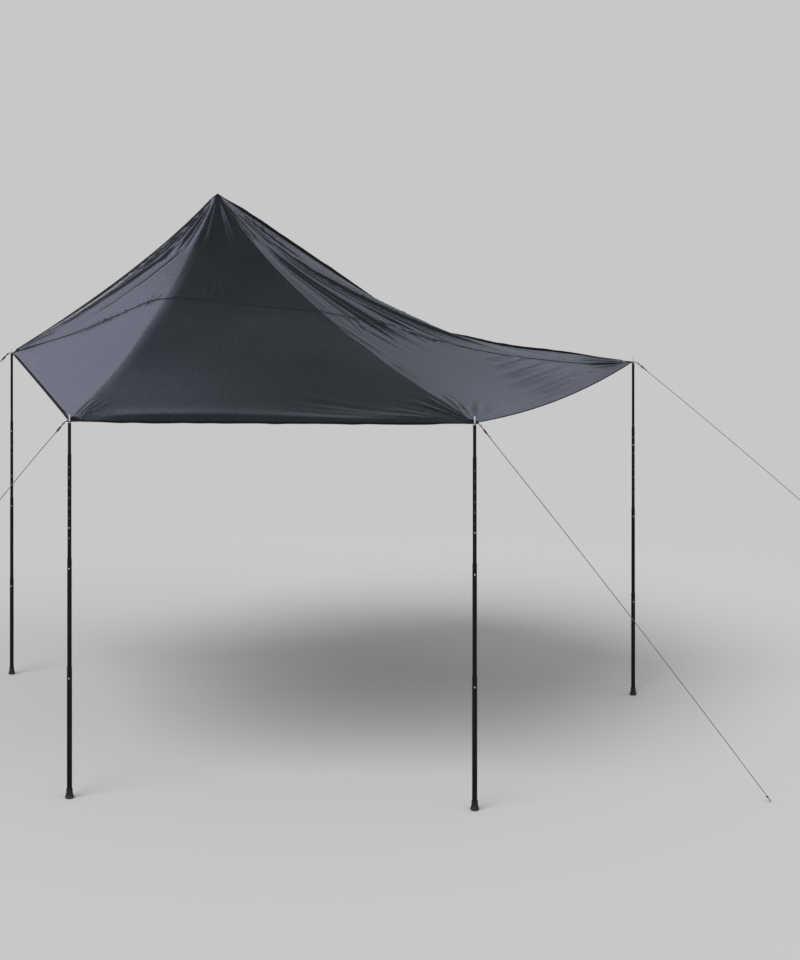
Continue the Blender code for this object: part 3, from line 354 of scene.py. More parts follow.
grainPlans = {
    # Roughness, sheen, noise cells in a metre and their detail, two tones, and relief in metres.
    # Bonded polyester thread: dark grey and slightly shiny, twisted too fine to see
    "sewingThread": (0.5, 0.3, 1500.0, 2.0, "#24272a", "#3b3f44", 0.0),
    # Moulded nylon: black, satin, with the fine spark texture of its mould
    "mouldedNylon": (0.42, 0.0, 1600.0, 3.0, "#18191a", "#2a2b2d", 0.00006),
}


def makeGrainedMaterial(name, plan):
    # One noise gives both the tone and the relief
    roughness, sheen, scale, detail, first, second, depth = plan
    material, tree, shader, place = newMaterial(name, roughness, sheen=sheen)
    grain = addNode(tree, "TexNoise", {"Vector": place, "Scale": scale, "Detail": detail}).outputs[0]
    finished(tree, shader, grain, colour(first), colour(second), grain if depth else None, depth)
    return material


tubePlan = {
    "colour": "#0c0c0d", "rub": "#191a1b", "roughness": 0.40,
    "streak": 700.0, "streakLength": 0.012,  # 1.4 mm between the extruded tube's lines, 120 mm long
    "patch": 9.0, "orangePeel": 1400.0, "bump": 0.00005,
}


def makeTubeMaterial(plan):
    # Extruded aluminium tube with black powder paint: satin black, faint lines along it, and
    # paler rubbed streaks where the tubes slide in each other
    material, tree, shader, place = newMaterial("blackPaintedAluminium", plan["roughness"], level=0.14)
    lines = addNode(tree, "Mapping", {"Vector": place, "Scale": (1.0, 1.0, plan["streakLength"])}).outputs[0]
    streak = addNode(tree, "TexNoise", {"Vector": lines, "Scale": plan["streak"], "Detail": 2.0}).outputs[0]
    patch = addNode(tree, "TexNoise", {"Vector": place, "Scale": plan["patch"], "Detail": 3.0}).outputs[0]
    worn = addNode(tree, "Math", {0: streak, 1: patch}, operation="MULTIPLY").outputs[0]
    share = addNode(tree, "MapRange", {0: worn, 1: 0.33, 2: 0.48, 3: 0.0, 4: 0.5}).outputs[0]
    peel = addNode(tree, "TexNoise", {"Vector": place, "Scale": plan["orangePeel"], "Detail": 1.0}).outputs[0]
    finished(tree, shader, share, colour(plan["colour"]), colour(plan["rub"]), peel, plan["bump"], 0.35,
             (streak, plan["roughness"] - 0.06, plan["roughness"] + 0.08))
    return material


def makeMetalMaterial(name, first, second, roughness, scale):
    # Bare metal, turned or stamped: fine scratches that vary its gloss and its tone
    material, tree, shader, place = newMaterial(name, roughness, metallic=1.0)
    rings = addNode(tree, "Mapping", {"Vector": place, "Scale": (0.15, 0.15, 1.0)}).outputs[0]
    marks = addNode(tree, "TexNoise", {"Vector": rings, "Scale": scale, "Detail": 4.0}).outputs[0]
    finished(tree, shader, marks, colour(first), colour(second), gloss=(marks, roughness - 0.06, roughness + 0.1))
    return material


rubberPlan = {
    "colour": "#1a1a1b", "scuff": "#4b4844", "grain": 700.0, "scuffs": 45.0, "bump": 0.00015,
    "scuffTop": 0.022,  # metres above the ground
}


def makeRubberMaterial(plan):
    # Moulded rubber: matt black from a grained mould, scuffed paler where it meets the ground
    material, tree, shader, place = newMaterial("mouldedRubber", 0.8, level=0.35)
    grain = addNode(tree, "TexNoise", {"Vector": place, "Scale": plan["grain"], "Detail": 3.0}).outputs[0]
    scuff = addNode(tree, "TexNoise", {"Vector": place, "Scale": plan["scuffs"], "Detail": 6.0}).outputs[0]
    height = addNode(tree, "SeparateXYZ", {0: place}).outputs[2]
    low = addNode(tree, "MapRange", {0: height, 1: plan["scuffTop"], 2: 0.0, 3: 0.0, 4: 1.0}).outputs[0]
    share = addNode(tree, "Math", {0: scuff, 1: low}, operation="MULTIPLY").outputs[0]
    finished(tree, shader, share, colour(plan["colour"]), colour(plan["scuff"]), grain, plan["bump"])
    return material


cordPlan = {
    "colour": "#2e3033", "light": "#44464a", "fleck": "#77797d", "roughness": 0.72,
    "fleckPitch": 0.006, "slant": 0.9, "fibre": 1200.0, "bump": 0.0001,
}


def makeCordMaterial(plan):
    # Braided polyester cord: mid grey, dull and fibrous, with a pale tracer strand that winds
    # round it, as bands across a slanted direction in the flat map
    material, tree, shader, place = newMaterial("braidedCord", plan["roughness"], sheen=0.3, level=0.4)
    flat = addNode(tree, "UVMap", uv_map="flat").outputs[0]
    slant = addNode(tree, "Mapping", {"Vector": flat, "Rotation": (0.0, 0.0, plan["slant"])}).outputs[0]
    tracer = addNode(tree, "TexWave", {"Vector": slant, "Scale": waveStep / plan["fleckPitch"]},
                     bands_direction="Y").outputs[1]
    share = addNode(tree, "MapRange", {0: tracer, 1: 0.82, 2: 0.95, 3: 0.0, 4: 1.0}).outputs[0]
    fibre = addNode(tree, "TexNoise", {"Vector": place, "Scale": plan["fibre"], "Detail": 2.0}).outputs[0]
    base = addNode(tree, "Mix", {0: fibre, 6: colour(plan["colour"]), 7: colour(plan["light"])},
                   data_type="RGBA").outputs[2]
    finished(tree, shader, share, base, colour(plan["fleck"]), fibre, plan["bump"], 0.6)
    return material


clothFinish = makeClothMaterial(clothPlan)
webbingFinish = makeWebbingMaterial("wovenWebbing", webbingPlan)
bindingPlan = {**webbingPlan, "colour": "#101113", "light": "#1a1b1d", "rib": 0.0012}
bindingFinish = makeWebbingMaterial("hemBinding", bindingPlan)
threadFinish, plasticFinish = (makeGrainedMaterial(name, plan) for name, plan in grainPlans.items())
tubeFinish = makeTubeMaterial(tubePlan)
bareFinish = makeMetalMaterial("bareAluminium", "#e0e1e2", "#f2f2f3", 0.45, 900.0)
steelFinish = makeMetalMaterial("brightSteel", "#d6d7d9", "#ececed", 0.36, 2500.0)
rubberFinish = makeRubberMaterial(rubberPlan)
cordFinish = makeCordMaterial(cordPlan)
print("materials made")


# Corners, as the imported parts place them

corners = {
    "rearLeft": {"node": "rear_left", "heading": 172.0, "slope": 45.0, "reach": 0.30, "hole": 0},
    "frontLeft": {"node": "front_left", "heading": 180.0, "slope": 50.5, "reach": 0.60, "hole": 6},
    "frontRight": {"node": "front_right", "heading": 4.3, "slope": 52.2, "reach": None, "hole": 6},
    "rearRight": {"node": "rear_right", "heading": 2.0, "slope": 40.0, "reach": 1.42, "hole": 1},
}
for spec in corners.values():
    spec["point"] = sum(boxOf(spec["node"] + "_eyelet")) / 2
    heading, slope = math.radians(spec["heading"]), math.radians(spec["slope"])
    spec["out"] = np.array([math.cos(heading), math.sin(heading), 0.0])
    spec["along"] = spec["out"] * math.cos(slope) - np.array([0.0, 0.0, math.sin(slope)])
    spec["across"] = np.array([-spec["out"][1], spec["out"][0], 0.0])
    spec["lift"] = np.cross(spec["across"], spec["along"])

# Guy lines

linePlan = {
    "diameter": 0.0035, "turnRadius": 0.0075, "seatGap": 0.0005, "straight": 0.004,
    "tail": 0.072, "tailEnd": 0.010, "tailSpread": 0.0045, "tailDrop": 0.0030, "turnPoints": 9,
    "sliderStart": 0.024, "sliderLength": 0.026, "sliderWidth": 0.026, "sliderThickness": 0.0085,
    "knotLength": 0.013, "knotDiameter": 0.010, "ringRadius": 0.011, "ringSunk": 0.0025,
    "touchGap": 0.0003, "groundGap": 0.002, "sag": 0.004,
    "loopBend": 0.021, "loopDrop": 0.008, "loopEye": 0.0094, "loopWidth": 0.010, "loopRounds": 16,
    "ringSpacing": 0.0009, "sides": 14,
    "strands": 4, "strandPitch": 0.0105, "strandDepth": 0.10, "meltedSizes": (0.45, 0.75, 0.93),
    "knotTurns": 3.0, "knotPoints": 140, "ringPoints": 150, "ringOval": 0.92,
    "coreDiameter": 0.003, "coreSpacing": 0.001, "coreShare": 0.95,
}


def loopEye(spec, plan):
    # The middle of the webbing's eye, past the bend and down along the line
    bend = spec["point"] + spec["out"] * plan["loopBend"]
    return bend + spec["along"] * (plan["loopDrop"] + plan["loopEye"] / 2)


def lineReach(spec, plan):
    # A line's length from the eye to its knot. One with no reach of its own runs to the ground.
    if spec["reach"] is not None:
        return spec["reach"]
    slope = math.radians(spec["slope"])
    radius = plan["diameter"] / 2
    height = loopEye(spec, plan)[2] - plan["groundGap"] - radius * math.cos(slope)
    past = plan["touchGap"] + plan["knotLength"] - plan["ringSunk"] + 2 * plan["ringRadius"] + radius
    return height / math.sin(slope) - past


def lineRoute(spec, plan):
    # The tail, up through the slider, round the webbing's eye, back through the slider and
    # down to the knot, as distances along the line, across it and above it
    side, reach = plan["turnRadius"], lineReach(spec, plan)
    upright = math.sqrt(side ** 2 - (plan["loopWidth"] / 2) ** 2)
    wall = plan["loopEye"] / 2 * math.cos(math.pi / plan["loopRounds"])
    centre = wall - plan["seatGap"] + upright - plan["diameter"] / 2 * side / upright
    begin = plan["sliderStart"] + plan["sliderLength"]
    spread, drop = plan["tailSpread"], plan["tailDrop"]
    tail = [
        (plan["tail"], -side - spread, -drop),
        (plan["tail"] - plan["tailEnd"], -side - spread * 0.4, -drop * 0.4),
        (begin, -side, 0.0), (plan["sliderStart"], -side, 0.0), (centre + plan["straight"], -side, 0.0),
    ]
    angle = np.linspace(0.0, math.pi, plan["turnPoints"])
    turn = np.stack([centre - side * np.sin(angle), -side * np.cos(angle), 0.0 * angle], axis=-1)
    back = [(centre + plan["straight"], side, 0.0), (plan["sliderStart"], side, 0.0), (begin, side, 0.0)]
    share = np.array([0.2, 0.4, 0.6, 0.8, 1.0])
    sag = plan["sag"] * reach * 4 * share * (1 - share)
    run = np.stack([begin + (reach - begin) * share, side + 0.0 * share, -sag], axis=-1)
    local = np.vstack([tail, turn, back, run])
    return loopEye(spec, plan) + local @ np.stack([spec["along"], spec["across"], spec["lift"]])


def smoothPath(points, spacing):
    # A curve through the points: a cubic in each stretch. The slope at a point is the way from
    # the point before it to the point after it, over the distance through it.
    lengths = lengthsOf(points)
    gap = np.diff(lengths)[:, None]
    slope = np.vstack([(points[1] - points[0]) / gap[0], (points[2:] - points[:-2]) / (gap[:-1] + gap[1:]),
                       (points[-1] - points[-2]) / gap[-1]])
    at = np.linspace(0.0, lengths[-1], int(lengths[-1] / spacing) + 1)
    i = np.clip(np.searchsorted(lengths, at, side="right") - 1, 0, len(points) - 2)
    return cubicAt(points, slope, gap, i, (at - lengths[i])[:, None] / gap[i])


def braided(path, reference, plan, closed=False):
    # A round section whose radius rises and falls where two sets of strands cross each other
    lengths = lengthsOf(path)
    angle = 2 * math.pi * np.arange(plan["sides"]) / plan["sides"]
    turn = 2 * math.pi * lengths[:, None] / plan["strandPitch"]
    weave = np.abs(np.sin(plan["strands"] * angle / 2 + turn)) + np.abs(np.sin(plan["strands"] * angle / 2 - turn))
    radius = plan["diameter"] / 2 * (1 - plan["strandDepth"] + plan["strandDepth"] * weave / 2)
    return carried(path, radius[..., None] * circle(plan["sides"]), reference, closed), lengths


def makeLine(name, spec, plan):
    # The braided section carried along the whole route, with both cut ends melted to a round tip
    path = smoothPath(lineRoute(spec, plan), plan["ringSpacing"])
    grid, lengths = braided(path, spec["lift"], plan)
    for k, size in enumerate(plan["meltedSizes"]):
        for row in (k, -1 - k):
            grid[row] = path[row] + (grid[row] - path[row]) * size
    line = makePiece(name + "GuyLine", [tubeShell(grid, lengths, math.pi * plan["diameter"])], cordFinish,
                     [spec["node"] + "_guy_line"], 75.0)
    return line, path, lengths[-1]


sliderPlan = {
    "waist": 0.12, "power": 0.5, "sides": 40, "stations": 17, "bore": 0.0024, "overrun": 0.004,
    "drawnIn": 0.16, "drawnShare": 0.035,  # how much both ends narrow, and over which share of it
}


def makeSlider(name, spec, plan, shape):
    # A block with two bores that the line runs through: a squared oval section, drawn in by
    # a falling power at both ends and by the square of a sine at its waist
    low = loopEye(spec, plan) + spec["along"] * plan["sliderStart"]
    share = np.linspace(0.0, 1.0, shape["stations"])
    oval = squaredCircle(shape["sides"], shape["power"]) * (plan["sliderWidth"] / 2, plan["sliderThickness"] / 2)
    ends = 1 - shape["drawnIn"] * (np.exp(-share / shape["drawnShare"]) + np.exp(-(1 - share) / shape["drawnShare"]))
    slim = 1 - shape["waist"] * np.sin(math.pi * share) ** 2
    x, z = oval[:, 0] * (ends * slim)[:, None], oval[:, 1] * ends[:, None]
    y = np.repeat(share[:, None] * plan["sliderLength"], shape["sides"], axis=1)
    points = low + np.stack([y, x, z], axis=-1) @ np.stack([spec["along"], spec["across"], spec["lift"]])
    block = makeMesh(name, [tubeShell(points, share, 1.0)], 40.0)
    block.materials.append(plasticFinish)
    rods = []
    for side in (plan["turnRadius"], -plan["turnRadius"]):
        reach = np.array([-shape["overrun"], plan["sliderLength"] + shape["overrun"]])[:, None]
        path = low + spec["across"] * side + spec["along"] * reach
        rods.append(tubeShell(carried(path, shape["bore"] * circle(shape["sides"]), spec["lift"]), np.zeros(2), 1.0))
    return makePiece(name + "LineSlider", cutAway(block, makeMesh("bores", rods)), plasticFinish,
                     [spec["node"] + "_line_slider"])


def cutAway(mesh, tool):
    # The mesh less the tool's solid, as a new mesh
    body = bpy.data.objects.new("body", mesh)
    knife = bpy.data.objects.new("knife", tool)
    for item in (body, knife):
        bpy.context.scene.collection.objects.link(item)
    change = body.modifiers.new("cut", "BOOLEAN")
    change.operation, change.solver, change.object = "DIFFERENCE", "EXACT", knife
    change.material_mode = "TRANSFER"
    bpy.context.view_layer.update()
    result = bpy.data.meshes.new_from_object(body.evaluated_get(bpy.context.evaluated_depsgraph_get()))
    for item in (body, knife):
        bpy.data.objects.remove(item)
    result.shade_smooth()
    result.set_sharp_from_angle(angle=math.radians(35.0))
    return result


def makeLineEnd(name, spec, plan):
    # A loop tied at the end: the line winds three times round itself, then runs round the loop
    start = loopEye(spec, plan) + spec["along"] * (lineReach(spec, plan) + plan["touchGap"])
    start = start + spec["across"] * plan["turnRadius"]
    basis = np.stack([spec["along"], spec["across"], spec["lift"]])
    thin, girth = plan["diameter"] / 2, math.pi * plan["diameter"]
    wind = plan["knotDiameter"] / 2 - thin
    share = np.linspace(0.0, 1.0, plan["knotPoints"])[:, None]
    angle = 2 * math.pi * plan["knotTurns"] * share
    helix = np.hstack([thin + (plan["knotLength"] - 2 * thin) * share, wind * np.cos(angle), wind * np.sin(angle)])
    grid, lengths = braided(start + helix @ basis, spec["along"], plan)
    coils = tubeShell(grid, lengths, girth)
    across, up = (plan["ringRadius"] * circle(plan["ringPoints"])).T
    middle = plan["knotLength"] + plan["ringRadius"] - plan["ringSunk"]
    ring = np.stack([middle - across, plan["ringOval"] * up, 0.0 * up], axis=-1)
    grid, lengths = braided(start + ring @ basis, spec["lift"], plan, closed=True)
    r, c = gridCorners(*grid.shape[:2], wrapRows=True, wrapColumns=True)
    uv = np.stack([c / plan["sides"] * girth, np.append(lengths, lengths[-1])[r]], axis=-1)
    loop = shellOf(grid, gridFaces(*grid.shape[:2], wrapRows=True, wrapColumns=True), (), uv)
    ends = np.array([[0.0, 0.0, 0.0], [plan["knotLength"] * plan["coreShare"], 0.0, 0.0]])
    core = evenly(ends, plan["coreSpacing"])
    grid, lengths = braided(start + core @ basis, spec["lift"], {**plan, "diameter": plan["coreDiameter"]})
    return makePiece(name + "TiedLoop", [coils, loop, tubeShell(grid, lengths, girth)], cordFinish,
                     [spec["node"] + "_line_end"], 75.0)


for name, spec in corners.items():
    line, path, length = makeLine(name, spec, linePlan)
    slider = makeSlider(name, spec, linePlan, sliderPlan)
    tied = makeLineEnd(name, spec, linePlan)
    print(f"guy line {name}: {length:.3f} m")


# Canopy net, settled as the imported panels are

canopyPlan = {
    "peak": (-0.757782, 1.596383, 3.302), "tentEnd": (0.718218, 1.846383, 2.306),
    "sideCells": 13, "cornerCells": 6, "hemCells": 16, "tentCells": 7, "rows": 18, "seamRow": 9,
    "cornerReach": 0.0508, "peakReach": 0.0608, "hemWidth": 0.020,
    "seamBow": 0.64, "seamLeftRise": 0.30, "seamRightRise": 0.10, "seamSamples": 80,
    "leftPull": 60.0, "frontPull": 80.0, "rightPull": 40.0, "tentLeftPull": 2.0, "tentRightPull": 6.0,
    "leftRidgePull": 5.0, "rightRidgePull": 4.5, "leftWeight": 1.3, "rightWeight": 3.6,
    "rounds": 14, "step": 0.6,
    # Cells of the fine grid in each cell of the net
    "fineLeft": 8, "fineCorner": 5, "fineHem": 6, "finePleats": 16, "fineRight": 10, "fineRow": 13, "fineEdgeRow": 3,
    "ridgeSoft": 0.045, "ridgeFade": 2.6, "ridgeColumns": 45,
    "thickness": 0.0010, "seamGap": 0.0001,
}
columns = 2 * canopyPlan["sideCells"] + 2 * canopyPlan["cornerCells"] + canopyPlan["hemCells"]
rightSide = columns - canopyPlan["sideCells"]
leftRidge = canopyPlan["sideCells"] + canopyPlan["cornerCells"] // 2
rightRidge = rightSide - canopyPlan["cornerCells"] // 2
tentColumn = rightSide + canopyPlan["tentCells"]


def directions(ends, counts):
    # Unit directions that swing from each end to the next in this many equal parts
    swing = []
    for first, last, count in zip(ends, ends[1:], counts):
        share = np.arange(count)[:, None] / count
        swing.append(unit(unit(first) * (1 - share) + unit(last) * share))
    return np.vstack(swing + [unit(ends[-1])[None]])


def heldPoints(plan):
    # The net's fixed points: the corners' cut edges, the peak's and the edge along the tent
    at = {name: spec["point"] for name, spec in corners.items()}
    peak, leaving = np.array(plan["peak"]), np.array(plan["tentEnd"])
    net = np.zeros((plan["rows"] + 1, columns + 1, 3))
    held = np.zeros((plan["rows"] + 1, columns + 1), bool)
    level = unit((at["rearRight"] - at["rearLeft"]) * (1, 1, 0))
    halves = (plan["seamRow"], plan["rows"] - plan["seamRow"])
    pair = (plan["cornerCells"] // 2,) * 2
    reach = plan["cornerReach"]
    left = slice(plan["sideCells"], plan["sideCells"] + plan["cornerCells"] + 1)
    right = slice(rightSide - plan["cornerCells"], rightSide + 1)
    net[:, 0] = at["rearLeft"] + reach * directions(
        [peak - at["rearLeft"], level + (0, 0, plan["seamLeftRise"]), at["frontLeft"] - at["rearLeft"]], halves)
    net[:, -1] = at["rearRight"] + reach * directions(
        [leaving - at["rearRight"], (0, 0, plan["seamRightRise"]) - level,
         at["frontRight"] - at["rearRight"]], halves)
    net[-1, left] = at["frontLeft"] + reach * directions(
        [at["rearLeft"] - at["frontLeft"], peak - at["frontLeft"], at["frontRight"] - at["frontLeft"]], pair)
    net[-1, right] = at["frontRight"] + reach * directions(
        [at["frontLeft"] - at["frontRight"], peak - at["frontRight"], at["rearRight"] - at["frontRight"]], pair)
    fan = directions([at["rearLeft"] - peak, at["frontLeft"] - peak, at["frontRight"] - peak, leaving - peak],
                     (pair[0], plan["hemCells"] + plan["cornerCells"], pair[0]))
    net[0, plan["sideCells"]:rightSide + 1] = peak + plan["peakReach"] * fan
    share = np.linspace(0.0, 1.0, plan["tentCells"] + 1)[:, None]
    net[0, rightSide:tentColumn + 1] = net[0, rightSide] * (1 - share) + leaving * share
    held[:, 0] = held[:, -1] = held[-1, left] = held[-1, right] = True
    held[0, plan["sideCells"]:tentColumn + 1] = True
    return net, held


def straightNet(net, held):
    # A first shape: free edge points in line, and straight columns between the two edges
    start = net.copy()
    for row in (0, -1):
        known = np.flatnonzero(held[row])
        for axis in range(3):
            start[row, :, axis] = np.interp(np.arange(net.shape[1]), known, net[row, known, axis])
    share = np.linspace(0.0, 1.0, len(net))[:, None, None]
    start[1:-1, 1:-1] = (start[0] * (1 - share) + start[-1] * share)[1:-1, 1:-1]
    return start


def shared(lengths, axis):
    # Half of each cell's length given to the point at either end of it
    before, after = [(0, 0), (0, 0)], [(0, 0), (0, 0)]
    before[axis], after[axis] = (1, 0), (0, 1)
    return (np.pad(lengths, before) + np.pad(lengths, after)) / 2


def settle(net, held, plan):
    # Each point rests where the pulls of its links sum to its weight: a pull is the cloth's
    # stress times the width of cloth that the link stands for, over the link's length
    rows, wide = held.shape
    number = np.arange(rows * wide).reshape(rows, wide)
    free, fixed = np.flatnonzero(~held), np.flatnonzero(held)
    shape = straightNet(net, held)
    left = slice(0, plan["sideCells"])
    hem = slice(plan["sideCells"] + plan["cornerCells"], rightSide - plan["cornerCells"])
    right = slice(rightSide, columns)
    for turn in range(plan["rounds"]):
        down = np.maximum(np.linalg.norm(shape[1:] - shape[:-1], axis=2), 1e-4)
        along = np.maximum(np.linalg.norm(shape[:, 1:] - shape[:, :-1], axis=2), 1e-4)
        width, depth = shared(along, 1), shared(down, 0)
        pullDown = (width[1:] + width[:-1]) / 2 / down
        pullAlong = (depth[:, 1:] + depth[:, :-1]) / 2 / along
        pullDown[:, leftRidge] += plan["leftRidgePull"] / down[:, leftRidge]
        pullDown[:, rightRidge] += plan["rightRidgePull"] / down[:, rightRidge]
        for row, part, pull in ((-1, left, "leftPull"), (-1, hem, "frontPull"), (-1, right, "rightPull"),
                                (0, left, "tentLeftPull"), (0, right, "tentRightPull")):
            pullAlong[row, part] += plan[pull] / along[row, part]
        matrix = np.zeros((rows * wide, rows * wide))
        for near, far, pull in ((number[1:], number[:-1], pullDown), (number[:, 1:], number[:, :-1], pullAlong)):
            near, far, pull = near.ravel(), far.ravel(), pull.ravel()
            np.add.at(matrix, (near, near), pull)
            np.add.at(matrix, (far, far), pull)
            matrix[near, far] -= pull
            matrix[far, near] -= pull
        weight = np.zeros((rows, wide))
        weight[-1, left] = plan["leftWeight"] * width[-1, left]
        weight[-1, right] = plan["rightWeight"] * width[-1, right]
        points = shape.reshape(-1, 3)
        load = -matrix[np.ix_(free, fixed)] @ points[fixed]
        load[:, 2] -= weight.ravel()[free]
        rest = np.linalg.solve(matrix[np.ix_(free, free)], load)
        points[free] += (1.0 if turn == plan["rounds"] - 1 else plan["step"]) * (rest - points[free])
        shape = points.reshape(rows, wide, 3)
    return shape


def pointsAt(path, share):
    # The points at these shares of a path's length
    lengths = lengthsOf(path)
    return readAt(share * lengths[-1], lengths, path)


def seamShare(column, start, end, plan):
    # Where a column crosses the seam, whose bow ahead of the line between the two rear
    # corners goes with the square of a sine
    line = end - start
    span = np.linalg.norm(line)
    line = line / span
    fine = pointsAt(column, np.linspace(0.0, 1.0, plan["seamSamples"] + 1))[:, :2] - start
    bow = plan["seamBow"] * np.sin(math.pi * np.clip(fine @ line / span, 0.0, 1.0)) ** 2
    ahead = fine @ np.array([line[1], -line[0]]) - bow
    crossing = np.flatnonzero((ahead[:-1] < 0) & (ahead[1:] >= 0))
    if not len(crossing):
        return plan["seamRow"] / plan["rows"]
    first = crossing[0]
    return (first - ahead[first] / (ahead[first + 1] - ahead[first])) / plan["seamSamples"]


def spreadRows(shape, plan):
    # Each column's points slide along it, so that the rows follow the hems and the seam
    start, end = corners["rearLeft"]["point"][:2], corners["rearRight"]["point"][:2]
    even = 1 / plan["rows"]
    shares = np.array([seamShare(shape[:, c], start, end, plan) for c in range(columns + 1)])
    shares[[0, -1]] = plan["seamRow"] * even
    shares[1:-1] = (shares[:-2] + 2 * shares[1:-1] + shares[2:]) / 4
    spread = shape.copy()
    for c in range(1, columns):
        hem = min(plan["hemWidth"] / lengthsOf(shape[:, c])[-1], even)
        seam = min(max(shares[c], 3 * hem), 1 - 3 * hem)
        upper = np.linspace(hem, seam, plan["seamRow"])
        lower = np.linspace(seam, 1 - hem, plan["rows"] - plan["seamRow"])
        spread[:, c] = pointsAt(shape[:, c], np.concatenate([[0.0], upper, lower[1:], [1.0]]))
    return spread


def refined(net, counts):
    # Down the first axis each stretch becomes a cubic between its ends. The slope at a point
    # is the way from the point before it to the point after it, over the distance through it.
    gap = np.maximum(np.linalg.norm(np.diff(net, axis=0), axis=-1, keepdims=True), 1e-9)
    rise = np.diff(net, axis=0) / gap
    slope = np.empty_like(net)
    slope[1:-1] = (net[2:] - net[:-2]) / (gap[:-1] + gap[1:])
    slope[0], slope[-1] = 2 * rise[0] - slope[1], 2 * rise[-1] - slope[-2]
    i = np.append(np.repeat(np.arange(len(counts)), counts), len(counts) - 1)
    t = np.append(np.concatenate([np.arange(n) / n for n in counts]), 1.0)[:, None, None]
    return cubicAt(net, slope, gap, i, t)


def netNormals(net):
    # Square to both ways across the net, and upwards
    normals = unit(np.cross(np.gradient(net, axis=0), np.gradient(net, axis=1)))
    return normals if normals[..., 2].mean() > 0 else -normals


def fineCounts(plan):
    # How many fine cells each row and each column of the net's cells is cut into
    half = plan["cornerCells"] // 2
    columnCounts = np.repeat(
        [plan[key] for key in ("fineLeft", "fineCorner", "fineHem", "fineCorner", "finePleats", "fineRight")],
        [plan["sideCells"], plan["cornerCells"], plan["hemCells"], half, half, plan["sideCells"]])
    rowCounts = np.repeat([plan["fineEdgeRow"], plan["fineRow"], plan["fineEdgeRow"]], [1, plan["rows"] - 2, 1])
    return rowCounts, columnCounts


rowCounts, columnCounts = fineCounts(canopyPlan)
rowAt = np.append(0, np.cumsum(rowCounts))        # fine row and column of each one of the net
columnAt = np.append(0, np.cumsum(columnCounts))
sideEnd, frontStart, frontEnd, rightStart, tentEnd = columnAt[[
    canopyPlan["sideCells"], canopyPlan["sideCells"] + canopyPlan["cornerCells"],
    rightSide - canopyPlan["cornerCells"], rightSide, tentColumn]]
seamLine = rowAt[canopyPlan["seamRow"]]


def softened(net, column, plan):
    # The cloth turns over a line gently: along each row a point moves to the mean of the row
    # round it, weighed by a bell of the distance. The bell narrows away from the line.
    reach = plan["ridgeColumns"]
    part = slice(column - reach, column + reach + 1)
    near = net[:, part]
    step = np.linalg.norm(np.diff(near, axis=1), axis=-1)
    lengths = np.pad(np.cumsum(step, axis=1), ((0, 0), (1, 0)))
    share = np.pad(step, ((0, 0), (0, 1))) + np.pad(step, ((0, 0), (1, 0)))
    away = lengths - lengths[:, reach:reach + 1]
    room = np.minimum(away[:, -1:], -away[:, :1])
    narrowing = np.minimum(plan["ridgeFade"] * plan["ridgeSoft"], 0.5 * room)
    width = np.minimum(plan["ridgeSoft"], 0.30 * room) * np.exp(-(away / narrowing) ** 2)
    spread = lengths[:, :, None] - lengths[:, None, :]
    weight = np.exp(-0.5 * (spread / np.maximum(width, 1e-5)[:, :, None]) ** 2) * share[:, None, :]
    moved = np.einsum("rij,rjk->rik", weight / weight.sum(axis=2, keepdims=True), near)
    result = net.copy()
    result[:, part] = moved
    result[[0, -1]] = net[[0, -1]]
    return result


seamPath = {
    # How many rows further down the seam runs than the net's middle row: column, rows
    "bow": [(0, 56), (16, 54), (24, 48), (40, 30), (56, 17), (72, 10.5), (120, 10), (152, 4.6), (176, 1.8),
            (240, 3.2), (300, 3), (328, -3), (344, -3), (360, 11), (384, 25), (408, 34), (423, 46)],
    "held": 20, "evened": 15,
}


def seamMoved(net, plan):
    # The rows slide along the cloth until the middle one runs where the seam does. Those near the
    # hems stay. Between the old rows a point follows the cubic curve through the four nearest.
    rows, columns = net.shape[:2]
    at, shift = np.array(plan["bow"], float).T
    half = plan["evened"] // 2
    shift = np.pad(np.interp(np.arange(columns), at, shift), half, mode="edge")
    shift = np.convolve(shift, np.full(plan["evened"], 1.0 / plan["evened"]), mode="valid")
    row, held = np.arange(rows)[:, None], plan["held"]
    share = np.minimum((row - held) / (seamLine - held), (rows - 1 - held - row) / (rows - 1 - held - seamLine))
    wanted = row + shift * np.clip(share, 0.0, 1.0)
    below = np.clip(wanted.astype(int), 1, rows - 3)
    t = (wanted - below)[..., None]
    a, b, c, d = (net[below + k, np.arange(columns)] for k in (-1, 0, 1, 2))
    moved = b + 0.5 * t * (c - a + t * (2 * a - 5 * b + 4 * c - d + t * (3 * (b - c) + d - a)))
    return np.where(share[..., None] > 0, moved, net)


coarse = spreadRows(settle(*heldPoints(canopyPlan), canopyPlan), canopyPlan)
fine = refined(refined(coarse, rowCounts).transpose(1, 0, 2), columnCounts).transpose(1, 0, 2)
fine = softened(fine, columnAt[leftRidge], canopyPlan)
fine = seamMoved(fine, seamPath)
print("canopy settled:", fine.shape[0], "rows of", fine.shape[1], "points")


# Folds in the cloth, raised along its normals

